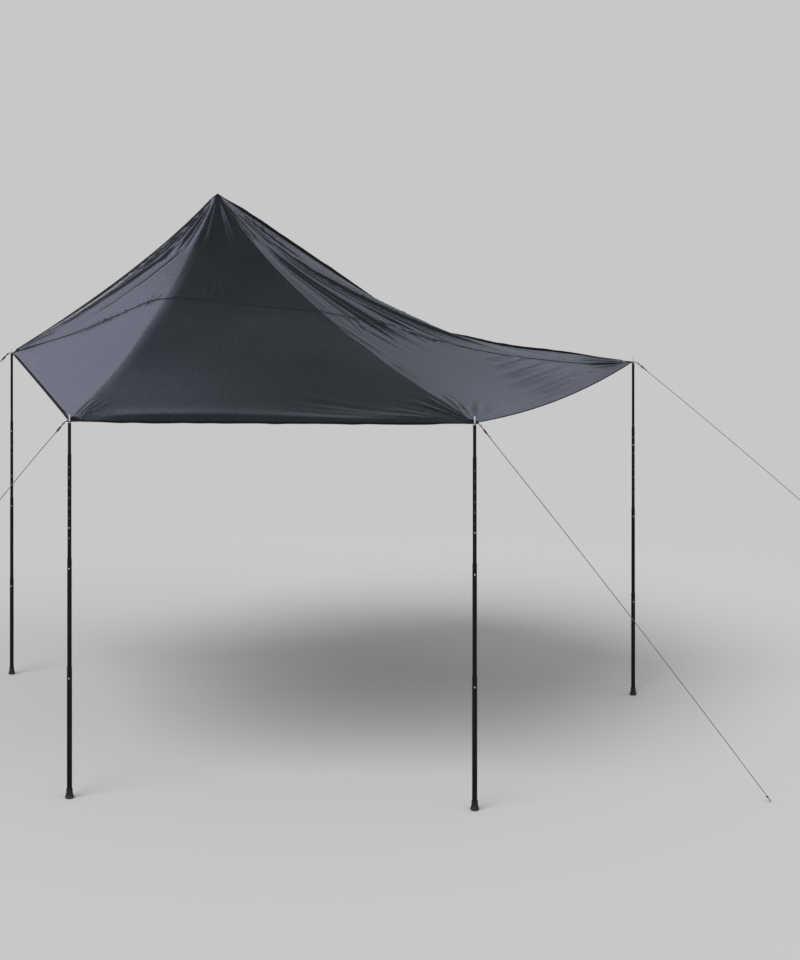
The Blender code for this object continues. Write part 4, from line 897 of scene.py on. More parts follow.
foldPlan = {
    # Each crease: half width and height in millimetres, then its points in plan, in metres
    "creases": [
        (16, 3.0, (-0.70, 1.46), (-0.64, 1.17)), (18, 3.5, (-0.60, 1.35), (-0.44, 0.73)),
        (16, -3.0, (-0.52, 1.33), (-0.36, 0.81)), (22, 4.0, (-0.46, 1.45), (-0.23, 1.00)),
        (14, 2.5, (-0.81, 1.46), (-0.89, 1.21), (-0.97, 1.04)),
        (16, 3.0, (-1.00, 1.17), (-1.20, 0.96), (-1.37, 0.84)),
        (14, -2.5, (-1.05, 1.10), (-1.41, 0.82), (-1.67, 0.80)),
        (14, 2.5, (-1.29, 0.74), (-1.67, 0.78), (-1.95, 0.78)),
        (18, 3.0, (-1.22, 0.64), (-1.52, 0.60), (-1.82, 0.66)), (26, 6.0, (0.09, 0.98), (0.50, 0.80), (1.01, 0.31)),
        (24, 5.0, (0.11, 0.60), (0.50, 0.30), (0.82, -0.17)),
        (22, -4.0, (0.13, 0.24), (0.45, -0.07), (0.69, -0.58)),
        (20, 4.0, (0.14, 0.01), (0.36, -0.23), (0.67, -0.60)),
        (20, -4.0, (0.19, 0.44), (0.50, 0.23), (0.77, -0.29)),
        (24, 5.0, (0.15, -0.24), (0.40, -0.60), (0.54, -0.82)),
        (12, 5.0, (0.50, -0.85), (0.59, -1.02), (0.66, -1.16)),
        (12, 6.0, (0.73, -1.30), (0.80, -1.41), (0.86, -1.58), (0.88, -1.78)),
        (12, 6.0, (0.78, -1.27), (0.85, -1.39), (0.90, -1.60), (0.92, -1.78)),
        (16, 6.0, (0.98, -1.25), (0.95, -1.68)), (10, -4.0, (0.54, -0.86), (0.62, -1.09), (0.69, -1.22)),
        (12, 4.5, (0.22, 0.00), (0.31, -0.26), (0.38, -0.44)),
        (11, 4.5, (0.26, 0.08), (0.36, -0.26), (0.43, -0.44)),
        (12, 4.5, (0.29, -0.53), (0.41, -0.76), (0.48, -0.93)),
        (34, 13.0, (-0.82, 1.38), (-0.89, 1.15), (-1.04, 0.97), (-1.25, 0.88), (-1.48, 0.83), (-1.70, 0.77),
         (-1.89, 0.73)),
        (20, 5.0, (-0.84, 1.10), (-0.95, 0.85), (-1.12, 0.72), (-1.35, 0.62), (-1.58, 0.54)),
        (10, 3.5, (-1.34, 0.39), (-1.23, 0.13), (-1.15, -0.15)),
        (10, 3.0, (-1.26, 0.35), (-1.16, 0.06), (-1.10, -0.16)), (9, 3.0, (-1.19, 0.28), (-1.10, 0.01)),
        (9, 3.5, (-1.01, 0.23), (-0.98, 0.34)), (9, 3.5, (-0.95, 0.15), (-0.93, 0.26)),
        (9, -3.0, (-1.26, 0.05), (-1.15, -0.21)), (10, 4.0, (-0.67, 0.33), (-0.64, 0.22), (-0.64, 0.10)),
        (10, 4.0, (-0.62, 0.34), (-0.59, 0.24), (-0.59, 0.14), (-0.54, 0.05)),
        (10, 3.5, (-0.57, 0.29), (-0.53, 0.18), (-0.53, 0.06)), (18, 1.6, (0.45, -1.38), (0.85, -1.74)),
        (26, 13.0, (1.06, -0.34), (1.34, 0.11)), (26, 14.0, (1.10, -0.50), (1.42, 0.10)),
        (28, 14.0, (1.12, -0.70), (1.55, 0.12)), (28, 13.0, (1.16, -0.86), (1.63, 0.06)),
        (26, 11.0, (1.24, -0.95), (1.70, -0.04)), (24, 9.0, (1.32, -0.97), (1.74, -0.18)),
        (16, 4.0, (0.36, 0.05), (0.46, -0.11)), (16, 4.0, (0.50, 0.09), (0.63, -0.18)),
        (16, 4.0, (0.65, 0.05), (0.75, -0.20)), (16, 4.0, (0.77, -0.04), (0.86, -0.21)),
        (14, 5.0, (1.20, -0.55), (1.36, -0.22), (1.48, 0.05)), (12, -4.0, (1.28, -0.80), (1.60, -0.02)),
        (12, 5.0, (1.50, -0.35), (1.72, -0.05)), (12, 4.0, (1.58, -0.20), (1.80, 0.05)),
        (14, -5.0, (1.38, -0.90), (1.62, -0.40)), (12, 4.5, (1.22, -0.28), (1.36, 0.10)),
        (190, 13.0, (-1.86, 0.45), (-1.66, 0.00), (-1.46, -0.50), (-1.24, -1.02)),
    ],
    # Fans of pleats round a held point: the point, pleats in a full turn, height, how far out
    # they start and end, the first and last bearing in degrees, and their twist per metre
    "fans": [
        ("rearLeft", 34, 0.0016, 0.05, 0.45, -180, 180, 0.0), ("frontLeft", 38, 0.0012, 0.05, 0.30, -180, 180, 0.0),
        ("frontRight", 38, 0.0016, 0.05, 0.50, -180, 180, 0.0), ("rearRight", 34, 0.0013, 0.05, 0.40, -180, 180, 0.0),
        ("frontRight", 40, 0.0013, 0.10, 1.10, 150, 184, 0.0), ("peak", 34, 0.0034, 0.05, 0.85, -180, 180, 0.0),
        ("peak", 70, 0.0062, 0.30, 2.60, -63, -30, 0.0), ("peak", 150, 0.0026, 0.50, 2.60, -62, -30, 0.0),
        ("peak", 150, 0.0026, 0.40, 3.00, -34, -12, 0.0),
    ],
    # Pleats that bow from one point to another: the two points, their distance apart at the
    # middle of the way, height, and how far they bow at the first and the last pleat
    "bows": [("peak", "rearLeft", 0.060, 0.0042, 0.03, 0.42)],
    # Soft margins, as a share of a fan's reach, in degrees of its bearing and as a share of a
    # bow's range. Then a fan's phase, and how near its ends a bow begins and how fast it grows.
    "fanSoft": 0.35, "bearingSoft": 7.0, "bowSoft": 0.3, "fanPhase": 1.7, "bowEnds": 0.03, "bowPower": 0.8,
    # Puckers along the seam: their distance apart, height, reach, slant, and where along the
    # seam, as a share of its length, they stand higher
    "seamPitch": 0.034, "seamHeight": 0.0012, "seamReach": 0.050, "seamSlant": 0.7,
    "seamHeaped": [(0.20, 0.05, 3.5), (0.285, 0.02, 2.5), (0.66, 0.06, 3.0)],
    "hemPitch": 0.060, "hemHeight": 0.0014, "hemReach": 0.05, "hemSlant": 0.3,
    "hemRoll": 0.010, "hemRollAt": 0.040, "hemRollReach": 0.12, "hemRollColumns": 12,
    "edgeClear": 0.03, "frontFade": 0.09, "edgeFade": 0.06,
    "swell": 0.006, "swellWaves": ((4.1, 1.7, 0.0), (-1.2, 3.3, 0.8)),  # radians in a metre, and phase
    # Slack places: the middle in plan, radius and depth
    "sags": [(1.20, 1.10, 0.48, 0.026), (0.92, 0.92, 0.26, 0.020), (1.34, 0.78, 0.34, 0.016)],
}


def waves(value):
    # Four sines whose lengths share no common measure, so that the pattern never repeats,
    # with their crests drawn up sharper than their troughs
    total = (np.sin(value) + 0.7 * np.sin(1.618 * value + 1.3) + 0.5 * np.sin(2.414 * value + 4.1)
             + 0.35 * np.sin(0.618 * value + 2.2)) / 1.6
    return total + 0.35 * (total * np.abs(total) - 0.3)


def window(value, low, high, soft):
    # 1 between two limits, falling to 0 over a soft margin inside each
    return smoothStep((value - low) / soft) * smoothStep((high - value) / soft)


def creaseHeight(place, width, height, path):
    # A ridge along a line: a bell of the distance from it, less half of a bell twice as wide,
    # that dies away towards the line's two ends
    path = np.array(path)
    lengths = lengthsOf(path)
    best = np.full(place.shape[:-1], np.inf)
    along = np.zeros(place.shape[:-1])
    for k in range(len(path) - 1):
        step = path[k + 1] - path[k]
        share = np.clip((place - path[k]) @ step / (step @ step), 0.0, 1.0)
        away = np.linalg.norm(place - path[k] - share[..., None] * step, axis=-1)
        nearer = away < best
        best = np.where(nearer, away, best)
        along = np.where(nearer, lengths[k] + share * (lengths[k + 1] - lengths[k]), along)
    taper = smoothStep(3 * along / lengths[-1]) * smoothStep(3 * (1 - along / lengths[-1]))
    near = best / width
    return height * taper * (np.exp(-near ** 2) - 0.5 * np.exp(-(near / 2) ** 2))


def fanHeight(place, centre, count, height, start, end, first, last, twist):
    # Pleats that run out from a point: waves of the bearing from it, each as high as its width
    away = place - centre[:2]
    distance = np.linalg.norm(away, axis=-1)
    bearing = np.arctan2(away[..., 1], away[..., 0])
    fade = window(distance, start, end, foldPlan["fanSoft"] * (end - start))
    if last - first < 360:
        fade = fade * window(np.degrees(bearing), first, last, foldPlan["bearingSoft"])
    return height * fade * waves(count * (bearing + twist * distance) + foldPlan["fanPhase"])


def bowHeight(place, start, end, pitch, height, low, high):
    # Pleats on parabolas through two points: a point's bow is its distance from the straight
    # line over four times the product of its two shares of the way
    line = end[:2] - start[:2]
    span = np.linalg.norm(line)
    line = line / span
    share = np.clip((place - start[:2]) @ line / span, foldPlan["bowEnds"], 1 - foldPlan["bowEnds"])
    across = (place - start[:2]) @ np.array([-line[1], line[0]])
    spread = 4 * share * (1 - share)
    bow = across / spread
    fade = spread ** foldPlan["bowPower"] * window(bow, low, high, foldPlan["bowSoft"] * (high - low))
    return height * fade * waves(2 * math.pi * bow / pitch)


def edgeHeight(shape, row, reach, pitch, height, slant):
    # Puckers along one row of the net: waves of the distance along it that die away from it,
    # slanted by a share of the distance from it
    lengths = lengthsOf(shape[row])
    away = np.linalg.norm(shape - shape[row], axis=-1)
    phase = (lengths[None] + slant * away) * 2 * math.pi / pitch
    return height * np.exp(-away / reach) * smoothStep(away / foldPlan["edgeClear"]) * waves(phase)


def foldHeights(shape, plan, net):
    # All creases, pleats and puckers added up, which die away at the hems
    place = shape[..., :2]
    total = np.zeros(shape.shape[:2])
    for width, height, *path in plan["creases"]:
        total += creaseHeight(place, width * 0.001, height * 0.001, path)
    centres = {**{name: spec["point"] for name, spec in corners.items()}, "peak": np.array(net["peak"])}
    for name, *fan in plan["fans"]:
        total += fanHeight(place, centres[name], *fan)
    for first, last, *bow in plan["bows"]:
        total += bowHeight(place, centres[first], centres[last], *bow)
    seam = lengthsOf(shape[seamLine])
    heaped = 1 + sum(more * np.exp(-((seam / seam[-1] - at) / wide) ** 2) for at, wide, more in plan["seamHeaped"])
    total += heaped * edgeHeight(shape, seamLine, plan["seamReach"], plan["seamPitch"], plan["seamHeight"],
                                 plan["seamSlant"])
    for row in (0, len(shape) - 1):
        total += edgeHeight(shape, row, plan["hemReach"], plan["hemPitch"], plan["hemHeight"], plan["hemSlant"])
    # The front hem is drawn down, so that the cloth rolls over behind it
    away = np.linalg.norm(shape - shape[-1], axis=-1)
    middle = window(np.arange(shape.shape[1]), frontStart, frontEnd, plan["hemRollColumns"])
    roll = smoothStep(away / plan["hemRollAt"]) * np.exp(-(away / plan["hemRollReach"]) ** 2)
    total += plan["hemRoll"] * middle * roll
    # A slow swell, as of cloth that isn't drawn quite tight
    first, second = (np.sin(place @ (x, y) + phase) for x, y, phase in plan["swellWaves"])
    total += plan["swell"] * first * second
    return total * smoothStep(away / plan["frontFade"]) * smoothStep(
        np.linalg.norm(shape - shape[0], axis=-1) / plan["edgeFade"])


def edgeFade(shape, plan):
    # Nothing moves at the held edges: 0 there and 1 from this far inwards
    rim = np.vstack([shape[:, 0], shape[:, -1], shape[-1, sideEnd:frontStart + 1],
                     shape[-1, frontEnd:rightStart + 1], shape[0, sideEnd:tentEnd + 1]])
    nearest = np.full(shape.shape[:2], np.inf)
    for point in rim[::3]:
        nearest = np.minimum(nearest, np.linalg.norm(shape - point, axis=-1))
    return smoothStep(nearest / plan["edgeFade"])


def sagDepths(shape, plan):
    # Each slack place is a bell of the distance in plan from its middle
    place = shape[..., :2]
    return sum(depth * np.exp(-(np.linalg.norm(place - (x, y), axis=-1) / radius) ** 2)
               for x, y, radius, depth in plan["sags"])


fade = edgeFade(fine, foldPlan)
fine[..., 2] -= sagDepths(fine, foldPlan) * fade
heights = foldHeights(fine, foldPlan, canopyPlan) * fade
cloth = fine + netNormals(fine) * heights[..., None]
clothNormals = netNormals(cloth)
print("folds raised, largest", round(float(np.abs(heights).max()) * 1000, 1), "mm")


def sheetShell(points, normals, thickness):
    # A closed sheet: the grid raised and lowered by half its thickness, with a rim
    rows, wide = points.shape[:2]
    half = normals * thickness / 2
    faces = gridFaces(rows, wide)
    number = np.arange(rows * wide).reshape(rows, wide)
    rim = np.concatenate([number[0], number[1:, -1], number[-1, -2::-1], number[-2:0:-1, 0]])
    under = rows * wide
    after = np.roll(rim, -1)
    band = np.stack([rim, rim + under, after + under, after], axis=-1)
    allFaces = np.vstack([faces, faces[:, ::-1] + under, band])
    place = np.vstack([points[..., :2].reshape(-1, 2)] * 2)
    return shellOf(np.vstack([(points + half).reshape(-1, 3), (points - half).reshape(-1, 3)]), allFaces, (),
                   place[allFaces])


def makeCloth(name, rowsHere, node, net):
    # One width of the cloth, drawn back by the seam's gap along its edge there
    points, normals = cloth[rowsHere].copy(), clothNormals[rowsHere]
    edge, inner = (-1, -2) if rowsHere.start is None else (0, 1)
    points[edge] += net["seamGap"] * unit(points[inner] - points[edge])
    return makePiece(name, [sheetShell(points, normals, net["thickness"])], clothFinish, [node], 60.0)


upperCloth = makeCloth("upperCloth", slice(None, seamLine + 1), "upper_canopy_panel", canopyPlan)
lowerCloth = makeCloth("lowerCloth", slice(seamLine, None), "lower_canopy_panel", canopyPlan)
print("cloth made")

# Hems, seam and stitches

hemPlan = {
    "proud": 0.0006, "edgeRound": 0.0016, "turnSteps": 7,
    "stitchPitch": 0.0042, "stitchLength": 0.0030, "stitchWidth": 0.0008,
}


def hemShell(edge, inner, part, plan, net):
    # A folded hem: the cloth's rows beside its edge, raised on top, round the edge and below
    step = 1 if inner > edge else -1
    rowsHere = np.arange(edge, inner + step, step)
    middle = cloth[rowsHere][:, part]
    raised = clothNormals[rowsHere][:, part] * (net["thickness"] / 2 + plan["proud"])
    outward = unit(middle[0] - middle[1]) * plan["edgeRound"]
    turn = np.linspace(math.pi / 2, -math.pi / 2, plan["turnSteps"])[1:-1, None, None]
    bend = middle[0] + outward * np.cos(turn) + raised[0] * np.sin(turn)
    grid = np.concatenate([(middle + raised)[::-1], bend, middle - raised]).transpose(1, 0, 2)
    around = np.cumsum(np.append(0.0, np.linalg.norm(np.diff(grid, axis=1), axis=-1).mean(axis=0)))
    lengths = lengthsOf(grid.mean(axis=1))
    r, c = gridCorners(*grid.shape[:2], wrapColumns=True)
    around = np.append(around, around[-1] + net["thickness"] + 2 * plan["proud"])
    uv = np.stack([around[c], lengths[r]], axis=-1)
    return shellOf(grid, gridFaces(*grid.shape[:2], wrapColumns=True), endCaps(*grid.shape[:2]), uv)


def rowAcross(edge, inner, part, inset):
    # The line in the cloth that runs this far in from its edge, with the cloth's normals
    first, second = cloth[edge][part], cloth[inner][part]
    share = np.clip(inset / np.linalg.norm(second - first, axis=-1, keepdims=True), 0.0, 1.0)
    return first + (second - first) * share, clothNormals[inner][part]


def stitchShell(path, normals, lift, plan):
    # One small spindle for each stitch: four sides, widest at its middle, sunk by a third
    lengths = lengthsOf(path)
    count = max(2, int(lengths[-1] / plan["stitchPitch"]))
    at = (np.arange(count) + 0.5) * lengths[-1] / count
    near = 0.001  # metres either way along the path, for its direction
    middle, up = readAt(at, lengths, path), unit(readAt(at, lengths, normals))
    along = unit(readAt(at + near, lengths, path) - readAt(at - near, lengths, path))
    side = np.cross(along, up)
    share = np.repeat([-1.0, 0.0, 1.0], 4)
    ring = np.tile(circle(4), (3, 1)) * np.repeat([0.4, 1.0, 0.4], 4)[:, None]
    half, radius = plan["stitchLength"] / 2, plan["stitchWidth"] / 2
    points = (middle[:, None] + along[:, None] * (half * share)[:, None] + side[:, None] * (radius * ring[:, :1])
              + up[:, None] * (lift + radius * (ring[:, 1] + 0.3 - 0.5 * np.abs(share)))[:, None])
    faces = np.vstack([gridFaces(3, 4, wrapColumns=True), *(cap[None] for cap in endCaps(3, 4))])
    return shellOf(points, (faces + 12 * np.arange(count)[:, None, None]).reshape(-1, 4))


lastRow, hemRows = len(cloth) - 1, canopyPlan["fineEdgeRow"]
leftPart, frontPart = slice(1, sideEnd + 1), slice(frontStart, frontEnd + 1)
tentPart, rearPart = slice(rightStart, tentEnd + 1), slice(tentEnd, -1)
edges = {
    # Each hem: its row of the cloth, how many rows it takes up, its columns, and its stitches' inset
    "leftHem": (lastRow, 2, leftPart, 0.011),
    "frontHem": (lastRow, hemRows, frontPart, 0.016),
    "rightHem": (lastRow, 1, slice(rightStart, -1), 0.0048),
    "rearLeftHem": (0, hemRows, leftPart, 0.016),
    "tentEdgeBand": (0, hemRows, tentPart, 0.016),
    "rearRightHem": (0, hemRows, rearPart, 0.016),
}
hems, stitchRows = [], []
for name, (edge, deep, part, inset) in edges.items():
    inward = -1 if edge else 1
    finish = webbingFinish if name == "tentEdgeBand" else bindingFinish
    shell = hemShell(edge, edge + inward * deep, part, hemPlan, canopyPlan)
    hems.append(makePiece(name, [shell], finish, sharpAngle=60.0))
    path, normals = rowAcross(edge, edge + inward * hemRows, part, inset)
    for flip in (1, -1):
        stitchRows.append(stitchShell(path, normals * flip, canopyPlan["thickness"] / 2 + hemPlan["proud"], hemPlan))
makePiece("hemStitches", stitchRows, threadFinish, sharpAngle=80.0)


stripPlan = {
    "thickness": 0.0014, "sunk": 0.002,
    # How high each strip is, over which shares of its length it rises and falls, and whether
    # it stands (1) or hangs (-1). Then by how much, and how often, its free edge waves.
    # The rear strip stands for the hem curling up at the rear-right edge, and its black webbing paints the shade on
    # that curl
    "tent": (0.018, 0.14, 0.40, 1), "rear": (0.026, 0.30, 0.42, 1), "front": (0.009, 0.12, 0.12, -1),
    "wave": 0.0010, "wavePitch": 0.31, "least": 0.12, "topSteps": 7, "spacing": 0.01, "towardsPeak": 0.9,
}


def stripShell(path, height, rising, falling, way, plan):
    # A strip on edge along a path: a thin section with a round top, carried along it,
    # that rises from nothing at each end. Those along the tent and the front are sewn on;
    # the rear-right one is a black strip of painted shade on the curling hem
    lengths = lengthsOf(path)
    tangent = unit(np.gradient(path, axis=0))
    up = unit(np.array([0.0, 0.0, 1.0]) - tangent * tangent[:, 2:])
    side = np.cross(tangent, up)
    share = lengths / lengths[-1]
    rise = np.maximum(smoothStep(share / rising) * smoothStep((1 - share) / falling), plan["least"])
    top = height * rise + plan["wave"] * waves(2 * math.pi * lengths / plan["wavePitch"]) * rise
    half = plan["thickness"] / 2
    turn = np.linspace(0.0, math.pi, plan["topSteps"])
    x = np.concatenate([[-half, half], half * np.cos(turn)])
    z = np.concatenate([np.full((len(path), 2), -plan["sunk"]), (top - half)[:, None] + half * np.sin(turn)], axis=1)
    z *= way
    grid = path[:, None] + side[:, None] * x[None, :, None] + up[:, None] * z[..., None]
    return tubeShell(grid, lengths, 2 * height)


# The rear-right strip is black webbing put where the curling hem is in shade: painted shade
for name, row, part, key in (("tentFlap", 0, tentPart, "tent"), ("rearRightShadeStrip", 0, rearPart, "rear"),
                             ("frontFlap", -1, frontPart, "front")):
    edge = cloth[row, part]
    if key == "tent":
        start = edge[0] + (np.array(canopyPlan["peak"]) - edge[0]) * stripPlan["towardsPeak"]
        edge = np.vstack([start, edge])
    strip = stripShell(evenly(edge, stripPlan["spacing"]), *stripPlan[key], stripPlan)
    makePiece(name, [strip], webbingFinish, sharpAngle=60.0)


seamPlan = {
    "width": 0.014, "bulge": 0.0020, "sides": 14, "power": 0.6,
    "stitchRows": (-0.0035, 0.0035), "sunk": 0.0001,
}


def seamShell(plan, net):
    # A lapped seam: a low rounded band over the line where the two widths of cloth meet
    points, normals, ahead = cloth[seamLine, 1:-1], clothNormals[seamLine, 1:-1], seamAhead[1:-1]
    band = squaredCircle(plan["sides"], plan["power"]) * (plan["width"] / 2, net["thickness"] / 2 + plan["bulge"])
    grid = points[:, None] + ahead[:, None] * band[:, :1] + normals[:, None] * band[:, 1:]
    return tubeShell(grid, lengthsOf(points), 2 * plan["width"])


seamAhead = unit(cloth[seamLine + 1] - cloth[seamLine - 1])
makePiece("seamTape", [seamShell(seamPlan, canopyPlan)], bindingFinish)
seamLift = canopyPlan["thickness"] / 2 + seamPlan["bulge"] - seamPlan["sunk"]
seamRows = []
for side in seamPlan["stitchRows"]:
    path = (cloth[seamLine] + seamAhead * side)[2:-2]
    for flip in (1, -1):
        seamRows.append(stitchShell(path, clothNormals[seamLine, 2:-2] * flip, seamLift, hemPlan))
makePiece("seamStitches", seamRows, threadFinish, sharpAngle=80.0)
print("hems and seam made")

# Poles

polePlan = {
    "radii": {"lower": 0.0125, "mid": 0.0110, "upper": 0.0095, "top": 0.0080},
    "sides": 48, "wall": 0.0012, "rim": 0.0004,
    "holeRadius": 0.0034, "chamfer": 0.0007, "holeSides": 24,
    "fixedDrop": 0.053, "firstDrop": 0.062, "pitch": 0.050, "holes": 8,
}


def makeTube(name, node, axis, radius, heights, body, plan):
    # A hollow tube with rounded rims, and holes whose chamfers are bare metal
    low, high = boxOf(node)
    bore, rim, base, top = radius - plan["wall"], plan["rim"], low[2], high[2]
    profile = [(bore, base + rim), (bore + rim * 0.4, base), (radius - rim, base), (radius, base + rim),
               (radius, top - rim), (radius - rim * 0.3, top - rim * 0.3), (radius - rim, top),
               (bore + rim * 0.4, top), (bore, top - rim)]
    mesh = makeMesh(name, [turned(profile, plan["sides"], axis, closed=True)], 35.0)
    mesh.materials.append(tubeFinish)
    # Each cutter runs in from the front: wide at the wall's face, then the width of the hole
    hole, chamfer = plan["holeRadius"], plan["chamfer"]
    depth = [(hole + chamfer * 2, radius + chamfer * 0.5), (hole, radius - chamfer * 0.5), (hole, radius * 0.45)]
    tool = makeMesh("holes", [turned(depth, plan["holeSides"], axis, height=height) for height in heights])
    tool.materials.append(bareFinish)
    makePiece(name, cutAway(mesh, tool), tubeFinish, [node], body=body)


clipPlan = {
    "width": 0.0070, "thickness": 0.0005, "bend": 0.002, "buttonHeight": 0.006, "sides": 24,
    "buttonRadius": 0.0030, "proud": 0.0018,
    # The strip's back leg and its fold, as distances from the tube's axis and above the button
    "leg": [(0.0008, 0.0300), (0.0017, 0.0297)], "legEnd": 0.006, "stiffShare": 0.8,
    # The button's dome, as shares of its radius: how wide, and how far below its tip
    "dome": [(1.0, 0.62), (0.94, 0.38), (0.80, 0.18), (0.58, 0.07), (0.3, 0.015), (0.05, 0.0)],
}


def makeClip(name, node, axis, outerRadius, body, tubeBody, plan):
    # A spring clip: a strip folded over inside the tube, and a domed button on its front leg.
    low, high = boxOf(node)
    half, thin, end = plan["width"] / 2, plan["thickness"] / 2, plan["legEnd"]
    button, reach = low[2] + plan["buttonHeight"], high[1] - axis[1]
    leg = np.array(plan["leg"] + [(reach, end), (reach, -end)])
    run = rounded(np.vstack([leg[::-1] * (-1, 1), leg]), plan["bend"], 4)
    path = np.stack([np.full(len(run), axis[0]), axis[1] + run[:, 0] - np.sign(run[:, 0]) * thin, button + run[:, 1]],
                    axis=-1)
    section = np.array([(-thin, -half), (-thin, half), (thin, half), (thin, -half)])
    strap = tubeShell(carried(path, section, np.array([1.0, 0.0, 0.0])), lengthsOf(path), 2 * plan["width"])
    r, tip = plan["buttonRadius"], outerRadius + plan["proud"]
    dome = [(r, reach - plan["thickness"])] + [(r * wide, tip - r * below) for wide, below in plan["dome"]]
    front = (axis[0], axis[1] - reach * plan["stiffShare"], button)
    makePiece(name, [strap, turned(dome, plan["sides"], axis, height=button)], steelFinish, [node], 40.0, body,
              (tubeBody, front, (axis[0], axis[1] + reach, button)))


footPlan = {
    "sides": 64, "cup": 0.0128, "neck": 0.0155, "widest": 0.0217, "tread": 0.0132, "widestHeight": 0.0085,
    "floor": 0.010, "taperTop": 0.035, "grooveDepth": 0.0010, "grooveTop": 0.0375, "top": 0.0475,
    "treadDepth": 0.0008, "ribs": 3, "ribSlant": 0.0003, "grooveSlant": 0.0004, "lip": 0.0012,
    # Shares: the ribs' range of the tread, the hollow of the first rib, the hole of the floor
    "ribRange": (0.12, 0.95), "hollow": 0.3, "floorHole": 0.2, "bowlSteps": 9, "flareSteps": 10, "flarePower": 0.9,
}


def makeFoot(name, node, axis, body, plan):
    # A turned rubber cup: ringed tread, rounded underside, long flare, groove and collar
    neck, widest, tread, slant = plan["neck"], plan["widest"], plan["tread"], plan["ribSlant"]
    rings = np.linspace(*plan["ribRange"], 2 * plan["ribs"]).reshape(-1, 2) * tread
    under = [(rings[0, 0] * plan["hollow"], plan["treadDepth"])]
    for inner, outer in rings:
        under += [(inner - slant, plan["treadDepth"]), (inner, 0.0), (outer, 0.0),
                  (outer + slant, plan["treadDepth"])]
    angle = np.linspace(0.0, math.pi / 2, plan["bowlSteps"])
    bowl = [(tread + (widest - tread) * math.sin(a), plan["widestHeight"] * (1 - math.cos(a))) for a in angle]
    # The flare falls from the collar first steeply and then outwards, as a quarter of a sine
    share = np.linspace(0.0, 1.0, plan["flareSteps"])[1:]
    flare = [(widest + (neck - widest) * math.sin(s * math.pi / 2) ** plan["flarePower"],
              plan["widestHeight"] + (plan["taperTop"] - plan["widestHeight"]) * s) for s in share]
    groove, ease, top, lip = neck - plan["grooveDepth"], plan["grooveSlant"], plan["top"], plan["lip"]
    rest = [(groove, plan["taperTop"] + ease), (groove, plan["grooveTop"] - ease), (neck, plan["grooveTop"]),
            (neck, top - lip), (neck - lip / 3, top - lip / 4), (neck - lip, top),
            (plan["cup"], top), (plan["cup"], plan["floor"]), (plan["cup"] * plan["floorHole"], plan["floor"])]
    makePiece(name, [turned(under[:-1] + bowl + flare + rest, plan["sides"], axis)], rubberFinish, [node], 45.0, body)


fittingPlan = {
    "sides": 40,
    "plug": 0.0065, "collar": 0.0080, "pin": 0.0035, "plugLength": 0.0203, "collarLength": 0.0040,
    "plugEase": 0.0005, "collarEase": 0.0003, "pinRoot": 0.0004,
    "eyeletBore": 0.0043, "eyeletBarrel": 0.0051, "eyeletFlange": 0.0100, "roll": 0.0008,
    # The pin's domed tip: its width as a share of the pin's, and how far below its top
    "tip": [(1.0, 0.0025), (0.93, 0.0013), (0.72, 0.0005), (0.4, 0.0001), (0.05, 0.0)],
}


def makeSpigot(name, node, axis, body, plan):
    # A turned plug, collar and pin with a domed tip
    low, high = boxOf(node)
    plug, collar, pin, base = plan["plug"], plan["collar"], plan["pin"], low[2]
    ease, edge, root = plan["plugEase"], plan["collarEase"], plan["pinRoot"]
    foot, shoulder = base + plan["plugLength"], base + plan["plugLength"] + plan["collarLength"]
    profile = [(plug * 0.1, base), (plug - ease, base), (plug, base + ease), (plug, foot), (collar - edge, foot),
               (collar, foot + edge), (collar, shoulder - edge), (collar - root, shoulder), (pin + root, shoulder),
               (pin, shoulder + root)] + [(pin * wide, high[2] - below) for wide, below in plan["tip"]]
    makePiece(name, [turned(profile, plan["sides"], axis)], steelFinish, [node], 35.0, body)


def makeEyelet(name, node, axis, plan):
    # A rolled eyelet: two curled flanges joined by a barrel
    (base, top), roll = (corner[2] for corner in boxOf(node)), plan["roll"]
    bore, barrel, flange = plan["eyeletBore"], plan["eyeletBarrel"], plan["eyeletFlange"]
    curl = [(flange - roll + roll * math.sin(a), roll * 0.2 + roll * 0.8 * (1 - math.cos(a)))
            for a in np.linspace(0.0, math.pi / 2, 5)]
    profile = [(bore, base + roll), (bore + roll, base)] + [(x, base + z) for x, z in curl]
    profile += [(flange, base + roll), (barrel, base + roll), (barrel, top - roll), (flange, top - roll)]
    profile += [(x, top - z) for x, z in curl[::-1]] + [(bore + roll, top), (bore, top - roll)]
    makePiece(name, [turned(profile, plan["sides"], axis, closed=True)], steelFinish, [node], 40.0)


for name, spec in corners.items():
    node, axis = spec["node"], spec["point"][:2]
    makeFoot(name + "Foot", node + "_foot", axis, node + "_lower", footPlan)
    below = []  # the hole that this section's button stands in, in the section below it
    for part, radius in polePlan["radii"].items():
        top = boxOf(f"{node}_{part}_tube")[1][2]
        drops = {"upper": polePlan["firstDrop"] + polePlan["pitch"] * np.arange(polePlan["holes"]), "top": []}
        own = [top - drop for drop in drops.get(part, [polePlan["fixedDrop"]])]
        makeTube(f"{name}{part.capitalize()}Tube", f"{node}_{part}_tube", axis, radius, below + own, f"{node}_{part}",
                 polePlan)
        below = own[spec["hole"]:][:1] if part == "upper" else own
    for outer, part in (("lower", "mid"), ("mid", "upper"), ("upper", "top")):
        makeClip(f"{name}{part.capitalize()}Clip", f"{node}_{part}_clip", axis, polePlan["radii"][outer],
                 f"{node}_{part}_button", f"{node}_{part}", clipPlan)
    makeSpigot(name + "Spigot", node + "_spigot", axis, node + "_top", fittingPlan)
    makeEyelet(name + "Eyelet", node + "_eyelet", axis, fittingPlan)
    print("pole made:", name)

# Corner patches and webbing loops

